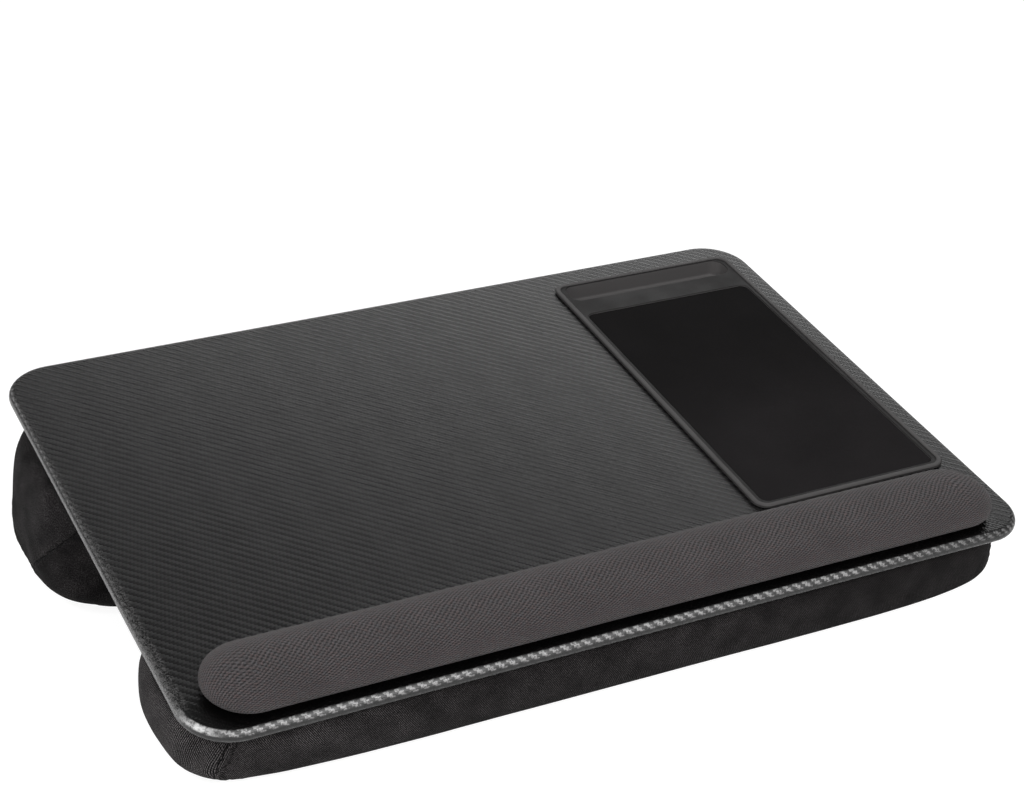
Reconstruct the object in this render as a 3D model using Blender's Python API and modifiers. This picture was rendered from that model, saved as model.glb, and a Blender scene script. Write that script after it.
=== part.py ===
# Lap desk: a film-wrapped board on two bolster cushions, with an organiser tray let into
# the board and a padded wrist rest along its front.
# Units are metres. The pieces are placed in the deck's own frame, whose origin is the middle
# of the board's upper face, +X to the user's right, +Y away from the user and +Z out of the
# board. An empty tilts that frame and holds it above the floor, which is the world's XY plane.

import math

import bmesh
import bpy
from mathutils import Matrix, Vector

# Deck
DECK_WIDTH = 0.527
DECK_DEPTH = 0.356
DECK_THICKNESS = 0.008
DECK_CORNER_RADIUS = 0.030
DECK_HEIGHT = 0.0815  # the middle of the deck's upper face above the floor
DECK_TILT_DEGREES = 11.2  # the rear edge is raised
ROUND_EDGE_SHARE = 0.98  # how much of half a thickness a full-round edge takes
RIM_TOLERANCE_SHARE = 0.01  # of a plate's thickness, in telling its rims by height

# Gaps
FACE_GAP = 0.0003  # between glued or resting faces
CUT_OVERRUN = 0.002  # how far a cutter runs past the face it cuts

# Film over the board
FILM_THICKNESS = 0.0005
FILM_LAP = 0.010  # turned under the board, from the deck's edge

# Organiser tray, one moulding
TRAY_WIDTH = 0.138
TRAY_RIGHT_MARGIN = 0.0137  # from the tray's rim to the deck's right edge
TRAY_REAR_MARGIN = 0.0195
TRAY_REST_CLEARANCE = 0.0092  # from the wrist rest to the tray's front
TRAY_CORNER_RADIUS = 0.0095
TRAY_RIM_HEIGHT = 0.0022  # crest of the rim above the deck
TRAY_RIM_WIDTH = 0.0035
TRAY_RIM_ROUND = 0.0013
TRAY_LAND_HEIGHT = 0.0015  # flat inside the rim, above the deck
TRAY_FLANGE = 0.002  # how far the rim overlaps the board
TRAY_WALL = 0.0018
TRAY_HOLE_CLEARANCE = 0.0005

# Mouse pad in the tray
PAD_SIDE_MARGIN = 0.0065  # from the tray's side to the pad
PAD_FRONT_MARGIN = 0.006
PAD_CORNER_RADIUS = 0.005
PAD_SINK = 0.0006  # the cloth lies this far below the land
PAD_RUBBER_THICKNESS = 0.0015
PAD_CLOTH_THICKNESS = 0.0005
PAD_CLOTH_SET_IN = 0.0002  # the cloth's edge inside the rubber's edge

# Phone slot in the tray
SLOT_SIDE_MARGIN = 0.0065  # from the tray's side to the slot
SLOT_DEPTH = 0.0191  # from front to rear
SLOT_CORNER_RADIUS = 0.008
SLOT_LAND = 0.017  # between the pad and the slot

# Panel under the board, which carries the cushions
PANEL_THICKNESS = 0.005
PANEL_LAP_CLEARANCE = 0.002  # between the film's turned edge and the panel
PANEL_HOLE_CLEARANCE = 0.001

# Countersunk screws up through the panel
SCREW_LENGTH = 0.008
SCREW_RADIUS = 0.0016
SCREW_HEAD_RADIUS = 0.0033
SCREW_HEAD_DEPTH = 0.0019
SCREW_AXIS_MERGE = 0.00001  # joins the turned profile's points on its axis
BOSS_RADIUS = 0.0038
BOSS_SIDE_INSET = 0.018  # boss centres inside the pad's sides
BOSS_END_INSET = 0.024
PANEL_SCREW_ROW_SPACING = 0.036
PANEL_SCREW_SIDE_MARGIN = 0.050  # from the deck's left edge to the first column
PANEL_SCREW_TRAY_MARGIN = 0.030  # from the last column to the tray's cut-out
PANEL_SCREW_COLUMNS = 3

# Wrist rest
REST_END_MARGIN = 0.017  # from the deck's sides to the rest's ends
REST_DEPTH = 0.053
REST_HEIGHT = 0.0165  # crown above the deck
REST_BELLY_HEIGHT = 0.0058  # where it is widest, above the deck
REST_FRONT_MARGIN = 0.006  # from the deck's front edge to the rest
REST_SIDE_SHIFT = 0.001  # the rest's middle to the right of the deck's
REST_COVER_THICKNESS = 0.001
REST_BASE_THICKNESS = 0.0015
REST_BASE_CLEARANCE = 0.0005  # between the base's edge and the cover's turned-in rim
REST_TAPE_THICKNESS = 0.0005
REST_TAPE_SET_IN = 0.001  # the tape's edge inside the base's
REST_TUCK_SHARE = 0.75  # half-width of the cover's bottom opening over that of its belly
REST_CROWN_SHARE = 0.8  # how full the section is, 1 for an ellipse and less for a fuller one

# Bolster cushions. A round share is 0.5 for an ellipse, and less for a squarer outline.
REAR_BOLSTER_OVERHANG = 0.0065  # past the deck's sides
REAR_BOLSTER_DEPTH = 0.156
REAR_BOLSTER_SET_IN = 0.003  # from the deck's rear edge to the cushion's rear face
REAR_BELLY_SHARE = 0.547  # height of the widest outline, down from the top
REAR_DRAW_SHARE = 0.112  # how far the top draws in, over half the depth
REAR_PLAN_ROUND_SHARE = 0.222
REAR_PROFILE_ROUND_SHARE = 0.185
REAR_SEAM_END_SHARE = 1.41  # 1 puts the end seam on the outline's diagonal, more puts it nearer the end
REAR_SEAM_DROP_SHARE = 0.635  # how far down the end the seam reaches
REAR_SEAM_ROUND_SHARE = 0.29  # how much the seam's lower corners are rounded off
FRONT_BOLSTER_END_MARGIN = 0.0015  # inside the deck's sides
FRONT_BOLSTER_DEPTH = 0.120
FRONT_BOLSTER_SET_IN = 0.002
FRONT_BELLY_SHARE = 0.613
FRONT_DRAW_SHARE = 0.055
FRONT_PLAN_ROUND_SHARE = 0.172
FRONT_PROFILE_ROUND_SHARE = 0.272
FRONT_SEAM_END_SHARE = 1.18
FRONT_SEAM_DROP_SHARE = 1.0
FRONT_SEAM_ROUND_SHARE = 0.08
SEAM_WARP_POWER = 4  # how quickly a seam's rounding fades away from the end
BOLSTER_SEAM_GAP = 0.0007
BOLSTER_COVER_THICKNESS = 0.0008
BOLSTER_TOP_THICKNESS = 0.0006
BOLSTER_FILL_SLACK = 0.0026  # between the cover's inner face and the fill
BOLSTER_FLAT_CUT = 0.0005  # depth of the flat that the cushion rests on

# Facet counts
CORNER_SEGMENTS = 8
EDGE_SEGMENTS = 4
ROUND_SEGMENTS = 16
BOLSTER_LENGTH_CELLS = 20
BOLSTER_DEPTH_CELLS = 8
BOLSTER_WALL_CELLS = 6
BOLSTER_FILL_CUTS = 5
BOLSTER_TOP_SEGMENTS = 44
REST_RING_SEGMENTS = 34
REST_ARC_SEGMENTS = 14
SMOOTH_DEGREES = 35.0

# Places that follow from the sizes
tilt = math.radians(DECK_TILT_DEGREES)
board_top = -(FILM_THICKNESS + FACE_GAP)
board_bottom = -DECK_THICKNESS + FILM_THICKNESS + FACE_GAP
panel_top = board_bottom - FACE_GAP
panel_bottom = panel_top - PANEL_THICKNESS
tray_x = DECK_WIDTH / 2 - TRAY_RIGHT_MARGIN - TRAY_WIDTH / 2
tray_rear = DECK_DEPTH / 2 - TRAY_REAR_MARGIN
tray_front = -DECK_DEPTH / 2 + REST_FRONT_MARGIN + REST_DEPTH + TRAY_REST_CLEARANCE
tray_length = tray_rear - tray_front
tray_y = (tray_rear + tray_front) / 2
slot_width = TRAY_WIDTH - 2 * SLOT_SIDE_MARGIN
slot_rear = tray_rear - TRAY_FLANGE - TRAY_WALL
slot_y = slot_rear - SLOT_DEPTH / 2
slot_floor = panel_bottom + TRAY_WALL
pad_width = TRAY_WIDTH - 2 * PAD_SIDE_MARGIN
pad_front = tray_front + PAD_FRONT_MARGIN
pad_length = slot_rear - SLOT_DEPTH - SLOT_LAND - pad_front
pad_y = pad_front + pad_length / 2
pad_top = TRAY_LAND_HEIGHT - PAD_SINK
recess_floor = pad_top - PAD_CLOTH_THICKNESS - PAD_RUBBER_THICKNESS - 2 * FACE_GAP
tray_underside = recess_floor - TRAY_WALL
body_width = TRAY_WIDTH - 2 * TRAY_FLANGE
body_length = tray_length - 2 * TRAY_FLANGE
body_radius = TRAY_CORNER_RADIUS - TRAY_FLANGE
cushion_top = panel_bottom - FACE_GAP
rest_length = DECK_WIDTH - 2 * REST_END_MARGIN
rest_x = REST_SIDE_SHIFT
rest_y = -DECK_DEPTH / 2 + REST_FRONT_MARGIN + REST_DEPTH / 2
rest_rim_set_in = REST_DEPTH / 2 * (1 - REST_TUCK_SHARE)
base_set_in = rest_rim_set_in + REST_COVER_THICKNESS + REST_BASE_CLEARANCE

BOLSTERS = {
    "rear_bolster": {
        "half_length": DECK_WIDTH / 2 + REAR_BOLSTER_OVERHANG,
        "half_depth": REAR_BOLSTER_DEPTH / 2,
        "y": DECK_DEPTH / 2 - REAR_BOLSTER_SET_IN - REAR_BOLSTER_DEPTH / 2,
        "belly": REAR_BELLY_SHARE,
        "draw": REAR_DRAW_SHARE,
        "plan_power": 1 / REAR_PLAN_ROUND_SHARE,
        "profile_power": 1 / REAR_PROFILE_ROUND_SHARE,
        "seam_end": REAR_SEAM_END_SHARE,
        "seam_drop": REAR_SEAM_DROP_SHARE,
        "seam_round": REAR_SEAM_ROUND_SHARE,
    },
    "front_bolster": {
        "half_length": DECK_WIDTH / 2 - FRONT_BOLSTER_END_MARGIN,
        "half_depth": FRONT_BOLSTER_DEPTH / 2,
        "y": -DECK_DEPTH / 2 + FRONT_BOLSTER_SET_IN + FRONT_BOLSTER_DEPTH / 2,
        "belly": FRONT_BELLY_SHARE,
        "draw": FRONT_DRAW_SHARE,
        "plan_power": 1 / FRONT_PLAN_ROUND_SHARE,
        "profile_power": 1 / FRONT_PROFILE_ROUND_SHARE,
        "seam_end": FRONT_SEAM_END_SHARE,
        "seam_drop": FRONT_SEAM_DROP_SHARE,
        "seam_round": FRONT_SEAM_ROUND_SHARE,
    },
}


# Scene, materials and objects


def clear_scene():
    for obj in list(bpy.data.objects):
        bpy.data.objects.remove(obj, do_unlink=True)


def make_collection(name):
    collection = bpy.data.collections.new(name)
    bpy.context.scene.collection.children.link(collection)
    return collection


def make_material(name, color, roughness, metallic=0.0):
    material = bpy.data.materials.new(name)
    material.use_nodes = True
    shader = material.node_tree.nodes["Principled BSDF"]
    shader.inputs["Base Color"].default_value = (*color, 1.0)
    shader.inputs["Roughness"].default_value = roughness
    shader.inputs["Metallic"].default_value = metallic
    return material


def add_part(name, bm, material):
    mesh = bpy.data.meshes.new(name)
    bm.to_mesh(mesh)
    bm.free()
    mesh.materials.append(material)
    obj = bpy.data.objects.new(name, mesh)
    parts.objects.link(obj)
    obj.parent = deck_frame
    return obj


def add_helper(name, bm):
    mesh = bpy.data.meshes.new(name)
    bm.to_mesh(mesh)
    bm.free()
    obj = bpy.data.objects.new(name, mesh)
    cutters.objects.link(obj)
    obj.parent = deck_frame
    obj.hide_render = True
    obj.display_type = "WIRE"
    return obj


def add_boolean(obj, other, operation):
    modifier = obj.modifiers.new(other.name, "BOOLEAN")
    modifier.operation = operation
    modifier.solver = "EXACT"
    modifier.object = other


def shade(obj):
    obj.data.shade_smooth()
    obj.data.set_sharp_from_angle(angle=math.radians(SMOOTH_DEGREES))


# Plates with a rounded outline, each a cube with its corners and then its rims bevelled


def rim_edges(bm, z, tolerance):
    return [e for e in bm.edges if all(abs(v.co.z - z) < tolerance for v in e.verts)]


def plate_mesh(width, depth, radius, bottom, top, centre=(0.0, 0.0), top_round=0.0, bottom_round=0.0):
    bm = bmesh.new()
    bmesh.ops.create_cube(bm, size=1.0)
    height = top - bottom
    middle = Vector((centre[0], centre[1], (top + bottom) / 2))
    placing = Matrix.Translation(middle) @ Matrix.Diagonal((width, depth, height, 1.0))
    bmesh.ops.transform(bm, matrix=placing, verts=bm.verts)
    corners = [e for e in bm.edges if abs(e.verts[0].co.z - e.verts[1].co.z) > height / 2]
    bevel(bm, corners, radius, CORNER_SEGMENTS)
    for z, size in ((top, top_round), (bottom, bottom_round)):
        if size > 0:
            bevel(bm, rim_edges(bm, z, height * RIM_TOLERANCE_SHARE), size, EDGE_SEGMENTS)
    return bm


def bevel(bm, edges, size, segments):
    bmesh.ops.bevel(
        bm,
        geom=edges,
        offset=size,
        offset_type="OFFSET",
        segments=segments,
        profile=0.5,
        affect="EDGES",
        clamp_overlap=False,
    )


# Board, film and panel


def make_tray_hole():
    return add_helper(
        "tray_hole",
        plate_mesh(
            body_width + 2 * TRAY_HOLE_CLEARANCE,
            body_length + 2 * TRAY_HOLE_CLEARANCE,
            body_radius + TRAY_HOLE_CLEARANCE,
            -DECK_THICKNESS - CUT_OVERRUN,
            CUT_OVERRUN,
            (tray_x, tray_y),
        ),
    )


def make_board(material, tray_hole):
    skin = FILM_THICKNESS + FACE_GAP
    half = (board_top - board_bottom) / 2 * ROUND_EDGE_SHARE
    bm = plate_mesh(
        DECK_WIDTH - 2 * skin,
        DECK_DEPTH - 2 * skin,
        DECK_CORNER_RADIUS - skin,
        board_bottom,
        board_top,
        top_round=half,
        bottom_round=half,
    )
    board = add_part("deck_board", bm, material)
    add_boolean(board, tray_hole, "DIFFERENCE")
    return board


def make_film(material, tray_hole):
    outer_round = DECK_THICKNESS / 2 * ROUND_EDGE_SHARE
    bm = plate_mesh(
        DECK_WIDTH,
        DECK_DEPTH,
        DECK_CORNER_RADIUS,
        -DECK_THICKNESS,
        0.0,
        top_round=outer_round,
        bottom_round=outer_round,
    )
    film = add_part("deck_film", bm, material)
    inner_round = (DECK_THICKNESS / 2 - FILM_THICKNESS) * ROUND_EDGE_SHARE
    inside = add_helper(
        "film_inside",
        plate_mesh(
            DECK_WIDTH - 2 * FILM_THICKNESS,
            DECK_DEPTH - 2 * FILM_THICKNESS,
            DECK_CORNER_RADIUS - FILM_THICKNESS,
            -DECK_THICKNESS + FILM_THICKNESS,
            -FILM_THICKNESS,
            top_round=inner_round,
            bottom_round=inner_round,
        ),
    )
    opening = add_helper(
        "film_underside_opening",
        plate_mesh(
            DECK_WIDTH - 2 * FILM_LAP,
            DECK_DEPTH - 2 * FILM_LAP,
            DECK_CORNER_RADIUS - FILM_LAP,
            -DECK_THICKNESS - CUT_OVERRUN,
            -DECK_THICKNESS / 2,
        ),
    )
    for cutter in (inside, opening, tray_hole):
        add_boolean(film, cutter, "DIFFERENCE")
    return film


def make_panel(material, screw_cutters):
    inset = FILM_LAP + PANEL_LAP_CLEARANCE
    bm = plate_mesh(
        DECK_WIDTH - 2 * inset,
        DECK_DEPTH - 2 * inset,
        DECK_CORNER_RADIUS - inset,
        panel_bottom,
        panel_top,
    )
    panel = add_part("under_panel", bm, material)
    room = TRAY_WALL + PANEL_HOLE_CLEARANCE
    hole = add_helper(
        "pocket_hole",
        plate_mesh(
            slot_width + 2 * room,
            SLOT_DEPTH + 2 * room,
            SLOT_CORNER_RADIUS + room,
            panel_bottom - CUT_OVERRUN,
            panel_top + CUT_OVERRUN,
            (tray_x, slot_y),
        ),
    )
    for cutter in (hole, *screw_cutters):
        add_boolean(panel, cutter, "DIFFERENCE")
    return panel


# Screws


def screw_mesh(clearance):
    # Half a section of the screw, from its head's underside face up to its tip.
    bm = bmesh.new()
    head = SCREW_HEAD_RADIUS + clearance
    shank = SCREW_RADIUS + clearance
    points = (
        (0.0, SCREW_LENGTH + clearance),
        (shank, SCREW_LENGTH + clearance),
        (shank, SCREW_HEAD_DEPTH),
        (head, clearance),
        (head, -CUT_OVERRUN if clearance else 0.0),
        (0.0, -CUT_OVERRUN if clearance else 0.0),
    )
    verts = [bm.verts.new((x, 0.0, z)) for x, z in points]
    for first, second in zip(verts, verts[1:]):
        bm.edges.new((first, second))
    return bm


def add_turning(obj):
    modifier = obj.modifiers.new("turning", "SCREW")
    modifier.axis = "Z"
    modifier.steps = ROUND_SEGMENTS
    modifier.render_steps = ROUND_SEGMENTS
    modifier.use_merge_vertices = True
    modifier.merge_threshold = SCREW_AXIS_MERGE


def screw_places():
    # (name, x, y) of every screw: some hold the panel to the board, the others pass into the tray's bosses.
    strip_rear = BOLSTERS["rear_bolster"]["y"] - BOLSTERS["rear_bolster"]["half_depth"]
    strip_front = BOLSTERS["front_bolster"]["y"] + BOLSTERS["front_bolster"]["half_depth"]
    strip_y = (strip_rear + strip_front) / 2
    first_x = -DECK_WIDTH / 2 + PANEL_SCREW_SIDE_MARGIN
    last_x = tray_x - body_width / 2 - PANEL_SCREW_TRAY_MARGIN
    places = []
    for row in (-1, 1):
        for column in range(PANEL_SCREW_COLUMNS):
            x = first_x + (last_x - first_x) * column / (PANEL_SCREW_COLUMNS - 1)
            name = f"panel_screw_{len(places) + 1}"
            places.append((name, x, strip_y + row * PANEL_SCREW_ROW_SPACING / 2))
    boss_x = pad_width / 2 - BOSS_SIDE_INSET
    boss_y = pad_length / 2 - BOSS_END_INSET
    corners = [(i, j) for j in (-1, 1) for i in (-1, 1)]
    for number, (i, j) in enumerate(corners, 1):
        places.append((f"tray_screw_{number}", tray_x + i * boss_x, pad_y + j * boss_y))
    return places


def make_screws(material):
    cutters_by_name = {}
    for name, x, y in screw_places():
        screw = add_part(name, screw_mesh(0.0), material)
        hole = add_helper(name + "_hole", screw_mesh(FACE_GAP))
        for obj in (screw, hole):
            obj.location = (x, y, panel_bottom)
            add_turning(obj)
        cutters_by_name[name] = hole
    return cutters_by_name


# Organiser tray and mouse pad


def make_tray(material, boss_holes):
    centre = (tray_x, tray_y)
    flange = plate_mesh(
        TRAY_WIDTH,
        tray_length,
        TRAY_CORNER_RADIUS,
        FACE_GAP,
        TRAY_RIM_HEIGHT,
        centre,
        top_round=TRAY_RIM_ROUND,
    )
    tray = add_part("organiser_tray", flange, material)
    body = add_helper(
        "tray_body",
        plate_mesh(body_width, body_length, body_radius, tray_underside, TRAY_LAND_HEIGHT, centre),
    )
    pocket = add_helper(
        "tray_pocket",
        plate_mesh(
            slot_width + 2 * TRAY_WALL,
            SLOT_DEPTH + 2 * TRAY_WALL,
            SLOT_CORNER_RADIUS + TRAY_WALL,
            panel_bottom,
            TRAY_LAND_HEIGHT,
            (tray_x, slot_y),
        ),
    )
    additions = [body, pocket]
    for name, hole in boss_holes.items():
        bm = bmesh.new()
        length = tray_underside + TRAY_WALL / 2 - (panel_top + FACE_GAP)
        bmesh.ops.create_cone(
            bm,
            cap_ends=True,
            segments=ROUND_SEGMENTS,
            radius1=BOSS_RADIUS,
            radius2=BOSS_RADIUS,
            depth=length,
        )
        boss = add_helper(name + "_boss", bm)
        boss.location = (hole.location.x, hole.location.y, panel_top + FACE_GAP + length / 2)
        additions.append(boss)
    for addition in additions:
        add_boolean(tray, addition, "UNION")
    land = add_helper(
        "tray_land",
        plate_mesh(
            TRAY_WIDTH - 2 * TRAY_RIM_WIDTH,
            tray_length - 2 * TRAY_RIM_WIDTH,
            TRAY_CORNER_RADIUS - TRAY_RIM_WIDTH,
            TRAY_LAND_HEIGHT,
            TRAY_RIM_HEIGHT + CUT_OVERRUN,
            centre,
        ),
    )
    recess = add_helper(
        "pad_recess",
        plate_mesh(
            pad_width + 2 * FACE_GAP,
            pad_length + 2 * FACE_GAP,
            PAD_CORNER_RADIUS + FACE_GAP,
            recess_floor,
            TRAY_RIM_HEIGHT + CUT_OVERRUN,
            (tray_x, pad_y),
        ),
    )
    slot = add_helper(
        "phone_slot",
        plate_mesh(
            slot_width,
            SLOT_DEPTH,
            SLOT_CORNER_RADIUS,
            slot_floor,
            TRAY_RIM_HEIGHT + CUT_OVERRUN,
            (tray_x, slot_y),
        ),
    )
    for cutter in (land, recess, slot, *boss_holes.values()):
        add_boolean(tray, cutter, "DIFFERENCE")
    return tray


def make_mouse_pad(rubber_material, cloth_material):
    centre = (tray_x, pad_y)
    rubber_bottom = recess_floor + FACE_GAP
    rubber_top = rubber_bottom + PAD_RUBBER_THICKNESS
    rubber = plate_mesh(pad_width, pad_length, PAD_CORNER_RADIUS, rubber_bottom, rubber_top, centre)
    cloth = plate_mesh(
        pad_width - 2 * PAD_CLOTH_SET_IN,
        pad_length - 2 * PAD_CLOTH_SET_IN,
        PAD_CORNER_RADIUS - PAD_CLOTH_SET_IN,
        rubber_top + FACE_GAP,
        pad_top,
        centre,
    )
    add_part("mouse_pad_rubber", rubber, rubber_material)
    add_part("mouse_pad_cloth", cloth, cloth_material)


# Wrist rest: a sphere pulled out to a long rounded pad


def rest_mesh(set_in, bottom, top):
    # The pad's surface, set in from the cover's outside, kept between two heights over the deck.
    half_depth = REST_DEPTH / 2 - set_in
    straight = (rest_length - REST_DEPTH) / 2
    bm = bmesh.new()
    bmesh.ops.create_uvsphere(
        bm, u_segments=REST_RING_SEGMENTS, v_segments=REST_ARC_SEGMENTS, radius=1.0
    )
    spread = (1 - REST_TUCK_SHARE**2) ** 0.5
    for vert in bm.verts:
        x, y, z = vert.co
        ring = math.hypot(x, y)
        angle = math.atan2(z, ring)
        if z > 0:
            width = math.cos(angle) ** REST_CROWN_SHARE
            height = REST_BELLY_HEIGHT + (top - REST_BELLY_HEIGHT) * math.sin(angle) ** REST_CROWN_SHARE
        else:
            width = math.cos(angle)
            drop = (REST_BELLY_HEIGHT - FACE_GAP - set_in) / spread
            height = REST_BELLY_HEIGHT + drop * math.sin(angle)
        reach = half_depth * width / ring if ring > 0 else 0.0
        side = math.copysign(straight, x) if ring > 0 and abs(x) > 0 else 0.0
        vert.co = (
            rest_x + side + x * reach,
            rest_y + y * reach,
            max(height, bottom),
        )
    return bm


def make_wrist_rest(cover_material, foam_material, base_material, tape_material):
    tape_bottom = FACE_GAP
    tape_top = tape_bottom + REST_TAPE_THICKNESS
    base_bottom = tape_top + FACE_GAP
    base_top = base_bottom + REST_BASE_THICKNESS
    foam_bottom = base_top + FACE_GAP
    centre = (rest_x, rest_y)
    for name, set_in, bottom, top, material in (
        ("wrist_rest_tape", base_set_in + REST_TAPE_SET_IN, tape_bottom, tape_top, tape_material),
        ("wrist_rest_base", base_set_in, base_bottom, base_top, base_material),
    ):
        depth = REST_DEPTH - 2 * set_in
        radius = depth / 2 * ROUND_EDGE_SHARE
        bm = plate_mesh(rest_length - 2 * set_in, depth, radius, bottom, top, centre)
        add_part(name, bm, material)
    foam_set_in = REST_COVER_THICKNESS + FACE_GAP
    foam = add_part(
        "wrist_rest_foam",
        rest_mesh(foam_set_in, foam_bottom, REST_HEIGHT - foam_set_in),
        foam_material,
    )
    bm = rest_mesh(0.0, -REST_HEIGHT, REST_HEIGHT)
    under = [f for f in bm.faces if f.calc_center_median().z < tape_top]
    bmesh.ops.delete(bm, geom=under, context="FACES")
    cover = add_part("wrist_rest_cover", bm, cover_material)
    add_thickness(cover, REST_COVER_THICKNESS)
    shade(foam)
    shade(cover)


def add_thickness(obj, thickness):
    modifier = obj.modifiers.new("cloth", "SOLIDIFY")
    modifier.thickness = thickness
    modifier.offset = -1.0
    modifier.use_even_offset = False


# Bolster cushions: a cube drawn out to a stuffed box with a crowned belly, flat on the floor


def floor_below(y):
    # Height of the floor in the deck's frame.
    return -(DECK_HEIGHT + y * math.sin(tilt)) / math.cos(tilt)


def bolster_point(bolster, u, v, w, inset=0.0, top=cushion_top):
    # The place of a point of the cube from -1 to 1: u along the length, v from front to rear, w up.
    # Its walls and its underside become the cushion's, and its end edges the seams.
    rim = max(abs(u), abs(v))
    below = min(w, 0.0)
    rounding = bolster["seam_round"] * abs(u) ** SEAM_WARP_POWER
    side = u * bolster["seam_end"]
    power = bolster["plan_power"]
    v, down = v * (1 - rounding * below**2), -below * bolster["seam_drop"] * (1 - rounding * v**2)
    plan = (abs(side) ** power + abs(v) ** power) ** (1 / power)
    belly = bolster["belly"]
    if w < 0:
        power = bolster["profile_power"]
        reach = (plan**power + down**power) ** (1 / power)
        drop = belly + (1 - belly) * down / reach
        drawn = 1.0
    else:
        reach = plan / rim if rim > 0 else 1.0
        drop = belly * (1 - w)
        drawn = 1 - bolster["draw"] * w**2
    half_depth = (bolster["half_depth"] - inset) * drawn
    half_length = bolster["half_length"] - inset - bolster["half_depth"] * (1 - drawn)
    y = bolster["y"] + half_depth * v / reach
    lowest = floor_below(y) + inset / math.cos(tilt)
    z = top + (lowest - BOLSTER_FLAT_CUT - top) * drop
    return Vector((half_length * side / reach, y, max(z, lowest)))


def face_outwards(bm, centre):
    bm.normal_update()
    facing = sum((f.calc_center_median() - centre).dot(f.normal) * f.calc_area() for f in bm.faces)
    if facing < 0:
        bmesh.ops.reverse_faces(bm, faces=bm.faces)


def cover_panel_mesh(columns, rows, place, centre):
    bm = bmesh.new()
    bmesh.ops.create_grid(bm, x_segments=columns, y_segments=rows, size=1.0)
    for vert in bm.verts:
        vert.co = place(vert.co.x, vert.co.y)
    face_outwards(bm, centre)
    return bm


def wrap_place(bolster, a, b):
    # a runs along the cushion; b runs down its front, under it and up its rear.
    u = a * (1 - BOLSTER_SEAM_GAP / bolster["half_length"])
    rows = 2 * BOLSTER_WALL_CELLS + BOLSTER_DEPTH_CELLS
    row = (b + 1) / 2 * rows
    if row < BOLSTER_WALL_CELLS:
        return bolster_point(bolster, u, -1.0, 1 - 2 * row / BOLSTER_WALL_CELLS)
    row -= BOLSTER_WALL_CELLS
    if row < BOLSTER_DEPTH_CELLS:
        return bolster_point(bolster, u, -1 + 2 * row / BOLSTER_DEPTH_CELLS, -1.0)
    row -= BOLSTER_DEPTH_CELLS
    return bolster_point(bolster, u, 1.0, -1 + 2 * row / BOLSTER_WALL_CELLS)


def end_place(bolster, side, a, b):
    trim = 1 - BOLSTER_SEAM_GAP / bolster["half_depth"]
    w = 1 - (1 - b) * trim
    return bolster_point(bolster, side, a * trim, w)


def fill_mesh(bolster):
    inset = BOLSTER_COVER_THICKNESS + BOLSTER_FILL_SLACK
    top = cushion_top - BOLSTER_TOP_THICKNESS - FACE_GAP
    bm = bmesh.new()
    bmesh.ops.create_cube(bm, size=2.0)
    bmesh.ops.subdivide_edges(bm, edges=bm.edges, cuts=BOLSTER_FILL_CUTS, use_grid_fill=True)
    for vert in bm.verts:
        vert.co = bolster_point(bolster, *vert.co, inset, top)
    return bm


def top_cloth_mesh(bolster):
    inset = BOLSTER_COVER_THICKNESS + BOLSTER_FILL_SLACK
    power = bolster["plan_power"]
    drawn = bolster["half_depth"] * bolster["draw"]
    half_depth = bolster["half_depth"] - drawn - inset
    half_length = bolster["half_length"] - drawn - inset
    bm = bmesh.new()
    bmesh.ops.create_cone(
        bm,
        cap_ends=True,
        segments=BOLSTER_TOP_SEGMENTS,
        radius1=1.0,
        radius2=1.0,
        depth=BOLSTER_TOP_THICKNESS,
    )
    for vert in bm.verts:
        x, y, z = vert.co
        swell = (abs(x) ** power + abs(y) ** power) ** (1 / power)
        vert.co = (
            half_length * x / swell,
            bolster["y"] + half_depth * y / swell,
            cushion_top - BOLSTER_TOP_THICKNESS / 2 + z,
        )
    return bm


def make_bolster(name, bolster, cover_material, top_material, fill_material):
    centre = Vector((0.0, bolster["y"], (cushion_top + floor_below(bolster["y"])) / 2))
    panels = {
        name + "_wrap": cover_panel_mesh(
            BOLSTER_LENGTH_CELLS,
            2 * BOLSTER_WALL_CELLS + BOLSTER_DEPTH_CELLS,
            lambda a, b: wrap_place(bolster, a, b),
            centre,
        )
    }
    for end, side in (("left", -1.0), ("right", 1.0)):
        panels[f"{name}_end_{end}"] = cover_panel_mesh(
            BOLSTER_DEPTH_CELLS,
            BOLSTER_WALL_CELLS,
            lambda a, b, side=side: end_place(bolster, side, a, b),
            centre,
        )
    for panel_name, bm in panels.items():
        panel = add_part(panel_name, bm, cover_material)
        add_thickness(panel, BOLSTER_COVER_THICKNESS)
        shade(panel)
    add_part(name + "_top_cloth", top_cloth_mesh(bolster), top_material)
    shade(add_part(name + "_fill", fill_mesh(bolster), fill_material))


# The whole desk


def centre_over_origin():
    # The world's origin is under the middle of the desk's bounding box, on the floor.
    bpy.context.view_layer.update()
    graph = bpy.context.evaluated_depsgraph_get()
    reach = []
    for obj in parts.objects:
        evaluated = obj.evaluated_get(graph)
        mesh = evaluated.to_mesh()
        reach += [(evaluated.matrix_world @ vert.co).y for vert in mesh.vertices]
        evaluated.to_mesh_clear()
    deck_frame.location.y -= (min(reach) + max(reach)) / 2


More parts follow.
